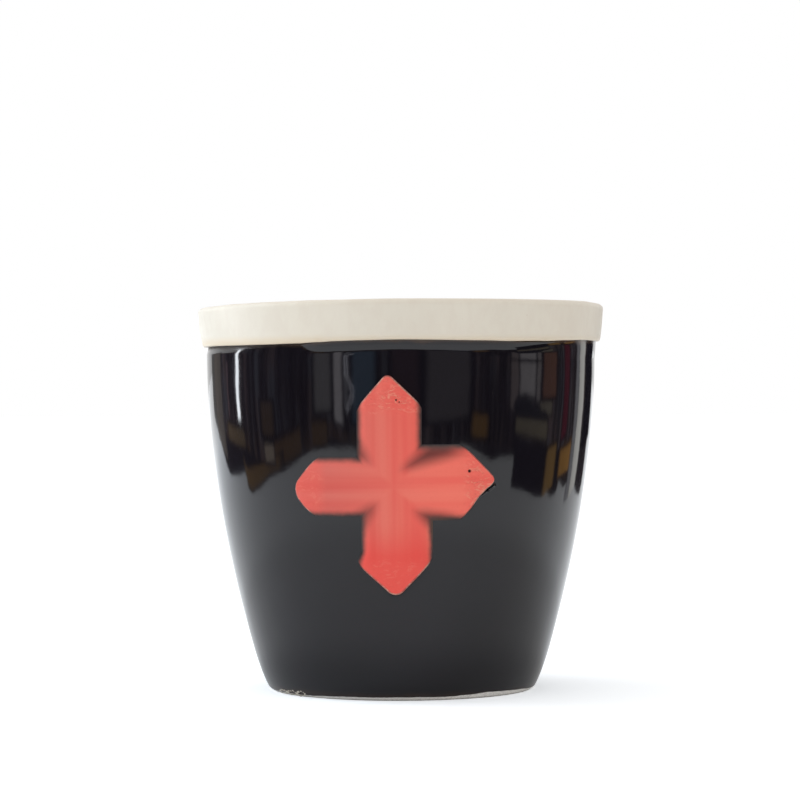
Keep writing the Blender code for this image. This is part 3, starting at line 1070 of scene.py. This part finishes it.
class JAR_OT_pour_cream_glaze(bpy.types.Operator):
    """Pours the cream glaze inside and carries it over the lip to the collar's lower edge"""

    bl_idname = "jar.pour_cream_glaze"
    bl_label = "Pour the cream glaze"

    def execute(self, context):
        shape = context.scene.jar_shape
        outline = Outline(shape)
        foot = outline.collar_foot
        above_edge = outline.collar_points(0.0, foot + CREAM_EDGE_HEIGHT)
        under_edge = (above_edge[0][0] - CREAM_EDGE_ROUND, foot)
        edge = [under_edge, *quarter(under_edge, above_edge[0], 10)]
        face = above_edge[1:] + outline.lip_points(0.0) + outline.inside_points(0.0)
        back = outline.collar_points(CREAM_TUCKED_IN, foot) + outline.lip_points(CREAM_COAT)
        back += outline.inside_points(CREAM_COAT, COVERED_SPACING)
        cream = turn(back[::-1] + edge + face)

        def finger_rings(point):
            """The potter's finger rings, climbing the inside in a slow spiral."""
            radius = math.hypot(point.x, point.y)
            angle = math.atan2(point.y, point.x)
            inside = smooth((outline.swell(point.z) - radius - 2.0 * MM) / MM)
            if radius < MM or not inside:
                return point
            climb = point.z / CLIMB_PITCH + angle / math.tau + CLIMB_WANDER * noise.noise(point / (30 * MM))
            depth = smooth((point.z - FLOOR - 3 * MM) / (8 * MM)) * smooth((outline.height - point.z) / (9 * MM))
            share = 1.0 + shape.throwing_rings * inside * depth * (math.cos(climb * math.tau) - 0.4) / radius
            spiral = math.cos((radius / SPIRAL_PITCH - angle / math.tau) * math.tau)
            near_floor = smooth(1.0 - (point.z - FLOOR) / (3 * MM))
            bottom = SPIRAL_HEIGHT * spiral * near_floor * smooth(radius / (8 * MM))
            return Vector((point.x * share, point.y * share, point.z + bottom))

        work(cream, finger_rings)
        by_hand(outline, cream)
        finish = cream_finish(context.scene.jar_finishes, foot)
        hand_over(cream, "cream_glaze", finish, "cream_glaze", "cream_liner_glaze")
        return {"FINISHED"}


class JAR_OT_dip_black_glaze(bpy.types.Operator):
    """Dips the outside in black glaze, down to an uneven edge above the bare foot"""

    bl_idname = "jar.dip_black_glaze"
    bl_label = "Dip the black glaze"

    def execute(self, context):
        outline = Outline(context.scene.jar_shape)
        low, top = BLACK_EDGE_HEIGHT, outline.collar_foot + BLACK_TUCKED_UP
        above_edge = (outline.outside(low + BLACK_EDGE_ROUND), low + BLACK_EDGE_ROUND)
        under_edge = (above_edge[0] - BLACK_EDGE_ROUND, low)
        edge = [under_edge, *quarter(under_edge, above_edge, 5)]
        flare_top = outline.shoulder + HOLLOW_HEIGHT * FLARE_TOP
        face = outline.outside_points(low + BLACK_EDGE_ROUND, flare_top, 0.0)[1:]
        tucked = [(face[-1][0], top), (face[-1][0] - BLACK_COAT, top)]
        back = outline.outside_points(low, flare_top, BLACK_COAT, COVERED_SPACING)
        black = turn(back[::-1] + edge + face + tucked + back[-1:])

        def run_down(point):
            """The glaze ends at an uneven height, and its flare under the collar fades out towards the sides."""
            angle = math.atan2(point.y, point.x)
            around = Vector((math.cos(angle), math.sin(angle), 0.0))
            hang = between(GLAZE_ENDS, around.x) * MM - low
            hang += 0.07 * MM * noise.noise(around * 11.0) + 0.06 * MM * noise.noise(around * 30.0)
            fade = 1.0 - smooth((point.z - low) / (3.0 * MM))
            z = point.z + hang * fade
            radius = math.hypot(point.x, point.y)
            moved = outline.outside(z) - outline.outside(point.z)
            if z > outline.shoulder:
                lean = between(FLARELESS_LEANS, around.x) * COLLAR_STEP * (z - outline.shoulder) / HOLLOW_HEIGHT
                flare = outline.outside(min(z, flare_top)) - outline.swell(z) - lean
                moved -= flare * (1.0 - between(FLARES, math.cos(angle)))
            share = (radius + moved) / radius
            return Vector((point.x * share, point.y * share, z))

        work(black, run_down)
        by_hand(outline, black)
        finish = black_finish(context.scene.jar_finishes, outline.collar_foot)
        hand_over(black, "black_glaze", finish, "black_glaze", "black_outer_glaze")
        return {"FINISHED"}


class JAR_OT_press_plaque(bpy.types.Operator):
    """Presses the diamond of clay on the wall, its four corners proud and its sides sunk in the black glaze"""

    bl_idname = "jar.press_plaque"
    bl_label = "Press the plaque"

    def execute(self, context):
        shape = context.scene.jar_plaque
        plaque = Plaque(shape, Outline(context.scene.jar_shape))

        def face(across, up, from_edge):
            grain = noise.noise(Vector((across, up, 0.0)) / (0.5 * MM))
            bed = 0.45 * MM * smooth((from_edge - 0.7 * MM) / (0.8 * MM))
            ridge = shape.stand - 0.08 * MM + 0.02 * MM * grain - bed
            return (ridge + TILE_SUNK) * arms_share(across, up) - TILE_SUNK

        def back(across, up, from_edge):
            return -BLACK_COAT

        tile = plaque_skin(plaque, TILE_DIVISIONS, 0.0, TILE_EDGE_ROUND, face, back)
        hand_over(tile, "plaque_tile", tile_finish(context.scene.jar_finishes), "plaque_clay", "plaque")
        return {"FINISHED"}


class JAR_OT_brush_enamel(bpy.types.Operator):
    """Brushes the red enamel over the plaque, with its rough tips, pinholes and brush ridges"""

    bl_idname = "jar.brush_enamel"
    bl_label = "Brush the enamel"

    def execute(self, context):
        shape = context.scene.jar_plaque
        plaque = Plaque(shape, Outline(context.scene.jar_shape))

        def face(across, up, from_edge):
            raised = arms_share(across, up)
            return (shape.stand + ENAMEL_SUNK) * raised - ENAMEL_SUNK + pressed_relief(across, up) * raised

        def back(across, up, from_edge):
            return (shape.stand + ENAMEL_SUNK) * arms_share(across, up) - ENAMEL_SUNK - ENAMEL_COAT

        enamel = plaque_skin(plaque, ENAMEL_DIVISIONS, ENAMEL_MARGIN, ENAMEL_EDGE_ROUND, face, back)
        hand_over(enamel, "red_enamel", enamel_finish(context.scene.jar_finishes), "red_enamel", "red_plaque_enamel")
        return {"FINISHED"}


class JAR_OT_pool_glaze(bpy.types.Operator):
    """Pools the black glaze against the plaque's sides"""

    bl_idname = "jar.pool_glaze"
    bl_label = "Pool the glaze round the plaque"

    def execute(self, context):
        outline = Outline(context.scene.jar_shape)
        plaque = Plaque(context.scene.jar_plaque, outline)
        piece = start(bpy.ops.mesh.primitive_circle_add, vertices=480, radius=1.0)
        for _ in POOL_SECTION[1:]:
            bpy.ops.mesh.extrude_edges_move(TRANSFORM_OT_translate={"value": (0.0, 0.0, 1.0)})
        bpy.ops.object.mode_set(mode="OBJECT")

        def move(point):
            way = math.atan2(point.y, point.x)
            reach = max(abs(math.cos(way)), abs(math.sin(way)))
            out, high = (value * MM for value in POOL_SECTION[round(point.z)])
            flat = plaque.flat(math.cos(way) / reach, math.sin(way) / reach, -out)
            across, up = plaque.level(*plaque.trimmed(*flat, POOL_DRAWN_IN))
            raised = smooth(arms_share(across, up) * 1.6 - 0.5)
            raised *= smooth(0.5 - up / (3.0 * MM)) * (1.0 + 0.4 * smooth(across / (2.0 * MM) - 8.5))
            return plaque.wrapped(across, up, high * raised - POOL_SUNK * (1.0 - raised))

        work(piece, move)
        bpy.ops.object.mode_set(mode="EDIT")
        close_up()
        bpy.ops.object.mode_set(mode="OBJECT")
        finish = black_finish(context.scene.jar_finishes, outline.collar_foot)
        hand_over(piece, "pooled_glaze", finish, "black_glaze")
        return {"FINISHED"}


# Loops of kiln grit: each one's bearing and height, half its width in degrees and half its height, and its crumbs.
# Then how far a crumb strays from its loop, how large it is, and how deep it sinks in. Heights and sizes are in
# millimetres, and the depth is a share of the size
GRIT_LOOPS = ((-143.6, 0.72, 3.0, 0.50, 17), (-137.2, 0.76, 2.5, 0.54, 16), (-150.3, 0.62, 2.6, 0.38, 12))
GRIT_STRAY_ASIDE = 0.45
GRIT_STRAY_UP = 0.12
GRIT_SIZES = (0.10, 0.24)
GRIT_SUNK = 0.35


class JAR_OT_scatter_kiln_grit(bpy.types.Operator):
    """Leaves the crumbs of kiln grit that stuck to the foot at the front left"""

    bl_idname = "jar.scatter_kiln_grit"
    bl_label = "Scatter the kiln grit"

    def execute(self, context):
        outline = Outline(context.scene.jar_shape)
        draw = random.Random(7)
        crumbs = []
        places = [
            (bearing + half_wide * math.cos(angle), height + half_high * math.sin(angle))
            for bearing, height, half_wide, half_high, count in GRIT_LOOPS
            for angle in evenly(0.0, math.tau, count)[1:]
        ]
        for bearing, height in places:
            angle = math.radians(bearing + draw.uniform(-GRIT_STRAY_ASIDE, GRIT_STRAY_ASIDE))
            z = (height + draw.uniform(-GRIT_STRAY_UP, GRIT_STRAY_UP)) * MM
            size = draw.uniform(*GRIT_SIZES) * MM
            piece = start(bpy.ops.mesh.primitive_ico_sphere_add, subdivisions=3, radius=size)
            flatten = (draw.uniform(0.9, 1.7), draw.uniform(0.8, 1.2), draw.uniform(0.55, 0.9))
            bpy.ops.transform.resize(value=flatten, center_override=(0, 0, 0))
            bpy.ops.transform.rotate(value=draw.uniform(0, math.pi), orient_axis="X", center_override=(0, 0, 0))
            bpy.ops.object.mode_set(mode="OBJECT")
            radius = outline.outside(z) - size * GRIT_SUNK
            heart = Vector((radius * math.cos(angle), radius * math.sin(angle), z))
            seed = Vector((draw.uniform(0, 50), 0.0, 0.0))

            def move(point):
                lump = 1.0 + 0.22 * noise.noise(point / (size * 1.3) + seed)
                placed = heart + point * lump
                placed.z = max(placed.z, 0.0)
                return placed

            work(piece, move)
            crumbs.append(piece)
        bpy.ops.object.select_all(action="DESELECT")
        for piece in crumbs:
            piece.select_set(True)
        bpy.context.view_layer.objects.active = crumbs[0]
        bpy.ops.object.join()
        finish = clay_finish("kiln_grit", context.scene.jar_finishes.grit)
        hand_over(crumbs[0], "kiln_grit", finish, "bare_stoneware")
        return {"FINISHED"}


# The stage


# How large the table is. Its edge as the glaze mirrors it runs from behind the jar on its left, round its front, to
# behind it on its right, and all is dark beyond it, out to so many times as far
TABLE_SIZE = 12.0
TABLE_EDGE = (
    (-2.540, 4.200), (-1.073, 1.584), (-0.679, 0.931), (-0.527, 0.623), (-0.416, 0.411), (-0.355, 0.313),
    (-0.316, 0.231), (-0.305, 0.139), (-0.302, 0.085), (-0.289, 0.076), (-0.259, 0.062), (-0.245, 0.041),
    (-0.245, 0.0), (-0.248, -0.032), (-0.240, -0.090), (-0.238, -0.147), (-0.240, -0.180), (-0.194, -0.222),
    (-0.138, -0.248), (0.104, -0.262), (0.182, -0.252), (0.197, -0.208), (0.208, -0.161), (0.233, -0.149),
    (0.263, -0.115), (0.256, -0.100), (0.228, -0.085), (0.205, -0.070), (0.206, -0.051), (0.231, -0.001),
    (0.244, 0.009), (0.237, 0.042), (0.251, 0.073), (0.278, 0.093), (0.270, 0.125), (0.295, 0.204),
    (0.252, 0.291), (0.240, 0.382), (0.263, 0.468), (0.406, 0.742), (0.653, 1.264), (1.473, 3.003),
)
DARK_HEIGHT = 0.3 * MM
DARK_REACH = 2.5

# The line that the things in the dim room stand on, the room's back, and where the dark goes on at either side
ROOM_LINE = (
    (-0.569, 0.733), (-0.426, 0.402), (-0.329, 0.178), (-0.281, 0.049), (-0.195, -0.042), (-0.179, -0.103),
    (-0.158, -0.190), (0.129, -0.190), (0.189, -0.119), (0.226, 0.0), (0.315, 0.110), (0.370, 0.305), (0.420, 0.456),
)
BACK_SHARE = 1.35
ROOM_BACK = (
    (-2.60, 4.30), (-1.25, 1.90), *((x * BACK_SHARE, y * BACK_SHARE) for x, y in ROOM_LINE),
    (0.640, 1.150), (1.50, 3.05),
)
FAR_LEFT = (-0.760, 1.250)
FAR_RIGHT = (0.500, 1.100)
ROOM_HEIGHT = 0.15

# Pale and coloured things in that room: how far along its line each begins and ends, its lowest and highest point,
# how wide its soft edges are, all in millimetres, and its colour
REFLECTED = (
    ("wall_far_left", 0, 490, -5, 150, 40, (0.34, 0.30, 0.27)),
    ("rail_left", 604, 616, 34, 80, 4, (0.85, 0.58, 0.62)),
    ("window_left", 698, 722, 34, 150, 4, (11.0, 11.5, 12.1)),
    ("wood_left", 560, 742, 18, 33, 12, (0.42, 0.30, 0.17)),
    ("box_left", 846, 882, 18, 32, 5, (0.95, 0.78, 0.62)),
    ("column_left", 840, 890, 32, 54, 14, (0.27, 0.18, 0.11)),
    ("post_dim_front", 979, 1040, 38, 150, 16, (0.56, 0.54, 0.55)),
    ("post_front", 1036, 1070, 30, 150, 12, (1.45, 1.38, 1.46)),
    ("post_edge_front", 1066, 1082, 40, 150, 5, (0.50, 0.50, 0.55)),
    ("blue_front", 1082, 1140, 34, 150, 14, (0.22, 0.33, 0.46)),
    ("brown_front", 1156, 1216, 30, 150, 16, (0.15, 0.09, 0.10)),
    ("grey_front", 1214, 1322, 34, 150, 16, (0.29, 0.26, 0.27)),
    ("wood_front_right", 1318, 1366, 22, 39, 14, (0.62, 0.34, 0.10)),
    ("window_dim_right", 1408, 1434, 42, 78, 6, (0.58, 0.48, 0.47)),
    ("window_right", 1430, 1480, 50, 77, 8, (1.02, 0.96, 0.98)),
    ("window_edge_right", 1478, 1493, 48, 78, 4, (0.72, 0.66, 0.66)),
    ("red_wood_right", 1496, 1562, 50, 150, 9, (0.50, 0.25, 0.17)),
    ("tan_upper_right", 1484, 1542, 41, 51, 6, (0.52, 0.46, 0.36)),
    ("shelf_right", 1426, 1526, 28, 41, 6, (0.54, 0.46, 0.32)),
    ("shade_right", 1430, 1526, -8, 27, 8, (0.05, 0.04, 0.05)),
    ("pole_right", 1524, 1600, -8, 27, 16, (0.85, 0.50, 0.17)),
    ("pole_outer_right", 1625, 1770, -10, 20, 18, (1.0, 0.52, 0.14)),
    ("red_right", 1620, 1686, 22, 150, 12, (0.32, 0.055, 0.085)),
    ("post_dim_right", 1750, 1815, -5, 150, 14, (0.60, 0.60, 0.64)),
    ("post_right", 1800, 1975, -5, 150, 16, (1.60, 1.58, 1.51)),
)

# Cards that stand nearer the jar: by how much, and towards which point of its wall
NEAR_CARDS = {name: (0.35, (0.043, -0.012)) for name in ("post_dim_right", "post_right")}

# Low wooden things that stand on the table's own edge: between which of its points, how high, and their colour
ON_THE_EDGE = (("wood_low", 8, 14, 0, 14, (0.50, 0.31, 0.12)), ("wood_high", 13, 17, 0, 25, (0.36, 0.22, 0.10)))

# Dark leaves in front of them: where along the line and how high each is, and half its length and half its height
LEAVES = ((1446, 48.0, 24, 5.5), (1470, 44.5, 30, 4.5), (1500, 43.0, 20, 2.6), (1436, 44.0, 12, 3.0))

# A thin bright cord that hangs there in a double line: how far along it is, and its height, in millimetres
CORD_LINES = (
    ((1077, 78), (1078, 64), (1088, 58), (1092, 53), (1089, 48), (1075, 41)),
    ((1071, 78), (1072, 64), (1083, 58), (1086, 53), (1083, 48), (1072, 42)),
)
CORD_WIDTH = 1.0 * MM
CORD_NEARER = 0.04

# How cards fade out at their edges: over so many millimetres of their height, but at most so large a share of it,
# and the edge cards over such a share of their length
CARD_FADE = 4.5
MOST_FADE = 0.3
EDGE_CARD_FADE = 0.06
CARD_NEARER = 0.02

# The light that the dim room gives back, and that of what stands in it
ROOM_DARK = (0.05, 0.035, 0.038)
ROOM_WARM = (0.34, 0.25, 0.25)
ROOM_COOL = (0.25, 0.26, 0.31)
ROOM_STREAK = (0.22, 0.20, 0.20)
ROOM_BROWN = (0.28, 0.16, 0.07)
GROUND_LIGHT = (0.055, 0.045, 0.050)
FAR_LEFT_LIGHT = (0.25, 0.24, 0.23)
FAR_RIGHT_LIGHT = (0.018, 0.016, 0.022)
FADED_LIGHT = (0.03, 0.025, 0.03)
LEAF_LIGHT = (0.05, 0.05, 0.06)
CORD_LIGHT = (4.6, 4.6, 5.2)
TABLE_LIGHT = (0.92, 0.96, 1.0, 1.0)
WHITE = (1.0, 1.0, 1.0, 1.0)

# The sky is a little brighter on the left, as shares of its strength
SKY_LEFT = 1.12
SKY_RIGHT = 0.87

# The soft lamp, and how the camera stands
KEY_PLACE = (-0.86, 0.25, 0.42)
KEY_AIM = (0.0, 0.0, 0.05)
KEY_SIZE = 0.8
KEY_COLOUR = (0.62, 0.73, 0.86)
CAMERA_ASIDE = -0.2 * MM
CAMERA_TILT = math.radians(89.707)
CAMERA_ROLL = math.radians(0.2)
SENSOR_WIDTH = 36.0


def glow(name, light, soft=0.0, faded=0.0):
    """A card's own light. Its edges are soft, over shares of its width and of its height."""
    finish = Finish(name)
    if soft or faded:
        across, _, high = finish.axes(finish.node("ShaderNodeTexCoord", output="Generated"))
        mottle = finish.clouds(finish.place(), 9 * MM, 3.0, 0.6)
        sides = across.rises(-0.001, soft) * across.falls(1.0 - soft, 1.001)
        lit = sides * high.rises(-0.001, faded) * high.falls(1.0 - faded, 1.001) * (mottle * 0.5 + 0.75)
        light = finish.blend(lit, FADED_LIGHT, light)
    finish.show(finish.shine(colour(light)))
    return finish.material


def only_in_gloss(piece, name, material):
    """Finishes a card, and hides it from the camera and from everything but mirror-like reflections."""
    bpy.ops.object.mode_set(mode="OBJECT")
    piece.name = name
    piece.data.materials.append(material)
    piece.visible_camera = False
    piece.visible_diffuse = False
    piece.visible_shadow = False
    piece.visible_transmission = False
    piece.visible_volume_scatter = False


def along_line(distance):
    """A point of the room's line, so many millimetres along it."""
    distance *= MM
    for here, there in zip(ROOM_LINE, ROOM_LINE[1:]):
        length = math.dist(here, there)
        if distance <= length:
            break
        distance -= length
    share = min(distance / length, 1.0)
    return tuple(a + (b - a) * share for a, b in zip(here, there))


def strip(name, points, sweep, material):
    """A card: a line through points, drawn out along a sweep."""
    piece = draw_line(points)
    bpy.ops.mesh.extrude_edges_move(TRANSFORM_OT_translate={"value": sweep})
    only_in_gloss(piece, name, material)


def upright_card(name, stations, low, high, material, nearer=0.0, anchor=(0.0, 0.0)):
    """An upright card through stations, drawn in towards an anchor."""
    pulled = [tuple(a + (b - a) * (1.0 - nearer) for a, b in zip(anchor, station)) for station in stations]
    strip(name, [(x, y, low) for x, y in pulled], (0.0, 0.0, high - low), material)


def cord(name, line, material):
    """A thin cord, hanging along points that are each so far along the room's line and so high."""
    points = []
    for along, height in line:
        x, y = along_line(along)
        points.append((x * (1.0 - CORD_NEARER), y * (1.0 - CORD_NEARER), height * MM))
    strip(name, points, (CORD_WIDTH, 0.0, 0.0), material)


def leaf(name, along, height, half_length, half_height, material):
    """A dark leaf, upright on the room's line and a little in front of the cards there."""
    before, after = along_line(along - 10), along_line(along + 10)
    heart = Vector(((before[0] + after[0]) * 0.48, (before[1] + after[1]) * 0.48, height * MM))
    length = Vector((after[0] - before[0], after[1] - before[1], 0.0)).normalized() * half_length * MM
    rise = Vector((0.0, 0.0, half_height * MM))
    piece = start(bpy.ops.mesh.primitive_circle_add, vertices=32, radius=1.0, fill_type="NGON")
    bpy.ops.object.mode_set(mode="OBJECT")

    def move(point):
        lump = 1.0 + 0.30 * noise.noise(point * 1.4 + Vector((along, 0.0, 0.0)))
        return heart + (length * point.x + rise * point.y) * lump

    work(piece, move)
    only_in_gloss(piece, name, material)


def dark_beyond_the_table(material):
    """Lays the dark down flat, from the white table's edge outwards."""
    piece = draw_line([(x, y, DARK_HEIGHT) for x, y in TABLE_EDGE])
    bpy.ops.mesh.extrude_edges_move(TRANSFORM_OT_translate={"value": (0.0, 0.0, 0.0)})
    bpy.ops.transform.resize(value=(DARK_REACH, DARK_REACH, 1.0), center_override=(0, 0, 0))
    only_in_gloss(piece, "dark_ground", material)


def dark_room_finish():
    """The dim room round the table: upright streaks, a little brown and blue, darkest low down."""
    room = Finish("dark_room")
    place = room.place()
    upright = room.stretched(place, 1.0, 1.0, 0.12)
    streaks = room.clouds(upright, 26 * MM, 3.0, 0.6)
    fine = room.clouds(upright, 8 * MM, 2.0)
    right, _, low = room.axes(place, 1.0 / MM)
    tint = room.clouds(place, 60 * MM, 1.0)
    dim = room.blend(tint.rises(0.4, 0.6), ROOM_WARM, ROOM_COOL)
    dark = room.blend(streaks.rises(0.40, 0.64), ROOM_DARK, dim)
    dark = room.blend(fine.rises(0.5, 0.7) * 0.4, dark, ROOM_STREAK)
    brown = low.falls(0.0, 26.0) * right.falls(0.0, 120.0) * room.clouds(place, 30 * MM, 2.0).rises(0.45, 0.6)
    room.show(room.shine(room.blend(brown * 0.6, dark, ROOM_BROWN)))
    return room.material


def floor_finish(floor_colour):
    """The white table: matt, and lifted to a white page where the camera or a reflection sees it unshadowed, with
    painted shade near the jar and painted light farther out in reflections.
    """
    floor = Finish("white_table", Roughness=0.9, Base_Color=(*floor_colour, 1.0), Specular_IOR_Level=0.0)
    camera, mirrored = floor.rays()
    x, y, _ = floor.axes(floor.place())
    far = radius_of(x, y)
    # Painted shade and light, seen only in reflections: near the jar the table is darkened and its lift lowered, and
    # farther out the lift grows
    near = mirrored * far.falls(0.038, 0.062)
    lifted = 0.09 - near * 0.03 + far.rises(0.11, 0.16) * 0.22 + far.rises(0.35, 1.0) * 0.40
    floor.feed("Base Color", floor.blend(near, floor_colour, tinted(floor_colour, 0.78)))
    lift = floor.shine(TABLE_LIGHT, camera * 0.40 + mirrored * lifted)
    floor.show(floor.node("ShaderNodeAddShader", {}, {0: Value(floor, floor.shader.outputs[0]), 1: lift}))
    return floor.material


def light_the_world(strength):
    """A white backdrop for the camera and for gloss, and a softer sky for everything else."""
    sky = Finish("soft_sky", "worlds", "Background", Color=WHITE)
    bpy.context.scene.world = sky.material
    camera, mirrored = sky.rays()
    x, _, _ = sky.axes(sky.node("ShaderNodeTexCoord", output="Generated"))
    ends = {"From Min": -1.0, "To Min": strength * SKY_LEFT, "To Max": strength * SKY_RIGHT}
    soft = sky.node("ShaderNodeMapRange", {}, {"Value": x, **ends})
    sky.feed("Strength", sky.node("ShaderNodeMapRange", {}, {"Value": camera.most(mirrored), "To Min": soft}))


class JAR_OT_set_stage(bpy.types.Operator):
    """Sets the white table, the soft light, the dim room that the glaze mirrors, and the camera"""

    bl_idname = "jar.set_stage"
    bl_label = "Set the stage"

    def execute(self, context):
        stage = context.scene.jar_stage
        table = start(bpy.ops.mesh.primitive_plane_add, size=TABLE_SIZE)
        bpy.ops.mesh.subdivide(number_cuts=4)
        bpy.ops.object.mode_set(mode="OBJECT")
        table.name = "white_table"
        table.data.materials.append(floor_finish(stage.floor))
        self.set_cards()
        light_the_world(stage.sky)
        bpy.ops.object.light_add(type="AREA", location=KEY_PLACE)
        key = context.object
        key.name = "key_light"
        key.data.shape = "DISK"
        key.data.size = KEY_SIZE
        key.data.energy = stage.key
        key.data.color = KEY_COLOUR
        key.rotation_euler = (Vector(KEY_AIM) - key.location).to_track_quat("-Z", "Y").to_euler()
        key.visible_glossy = False
        bpy.ops.object.camera_add(location=(CAMERA_ASIDE, -stage.camera_distance, stage.camera_height))
        camera = context.object
        camera.name = "camera"
        camera.rotation_euler = (CAMERA_TILT, CAMERA_ROLL, 0.0)
        camera.data.lens = stage.lens
        camera.data.sensor_width = SENSOR_WIDTH
        context.scene.camera = camera
        context.scene.view_settings.view_transform = "Standard"
        return {"FINISHED"}

    def set_cards(self):
        """Stands the dim room and the things in it round the jar, for the glaze to mirror."""
        upright_card("dark_room", ROOM_BACK, 0.0, ROOM_HEIGHT, dark_room_finish())
        dark_beyond_the_table(glow("dark_ground", GROUND_LIGHT))
        upright_card("far_left", (FAR_LEFT, ROOM_LINE[0]), 0.0, ROOM_HEIGHT, glow("far_left", FAR_LEFT_LIGHT))
        upright_card("far_right", (ROOM_LINE[-1], FAR_RIGHT), 0.0, ROOM_HEIGHT, glow("far_right", FAR_RIGHT_LIGHT))
        for name, begin, end, low, high, soft, light in REFLECTED:
            material = glow(name, light, soft / (end - begin), min(CARD_FADE / (high - low), MOST_FADE))
            nearer = NEAR_CARDS.get(name, (CARD_NEARER, (0.0, 0.0)))
            upright_card(name, (along_line(begin), along_line(end)), low * MM, high * MM, material, *nearer)
        for name, first, last, low, high, light in ON_THE_EDGE:
            material = glow(name, light, EDGE_CARD_FADE, MOST_FADE)
            upright_card(name, TABLE_EDGE[first:last + 1], low * MM, high * MM, material)
        shade = glow("leaf", LEAF_LIGHT)
        for number, leaf_size in enumerate(LEAVES):
            leaf(f"leaf_{number}", *leaf_size, shade)
        for number, line in enumerate(CORD_LINES):
            name = f"cord_{number}"
            cord(name, line, glow(name, CORD_LIGHT))


# The add-on


PIECES = (
    JAR_OT_turn_pot, JAR_OT_pour_cream_glaze, JAR_OT_dip_black_glaze, JAR_OT_press_plaque, JAR_OT_brush_enamel,
    JAR_OT_pool_glaze, JAR_OT_scatter_kiln_grit, JAR_OT_set_stage,
)
GROUPS = {"jar_shape": JarShape, "jar_finishes": JarFinishes, "jar_plaque": PlaqueShape, "jar_stage": JarStage}


class VIEW3D_PT_condiment_jar(bpy.types.Panel):
    """The jar's operators and properties"""

    bl_label = "Condiment jar"
    bl_space_type = "VIEW_3D"
    bl_region_type = "UI"
    bl_category = "Condiment jar"

    def draw(self, context):
        for operator in PIECES:
            self.layout.operator(operator.bl_idname)
        for name, group in GROUPS.items():
            box = self.layout.box()
            for field in group.__annotations__:
                box.prop(getattr(context.scene, name), field)


def register():
    for kind in (*GROUPS.values(), *PIECES, VIEW3D_PT_condiment_jar):
        bpy.utils.register_class(kind)
    for name, group in GROUPS.items():
        setattr(bpy.types.Scene, name, PointerProperty(type=group))


def unregister():
    for name in GROUPS:
        delattr(bpy.types.Scene, name)
    for kind in reversed((*GROUPS.values(), *PIECES, VIEW3D_PT_condiment_jar)):
        bpy.utils.unregister_class(kind)


def main():
    register()
    for operator in PIECES:
        group, name = operator.bl_idname.split(".")
        getattr(getattr(bpy.ops, group), name)()


if __name__ == "__main__":
    main()
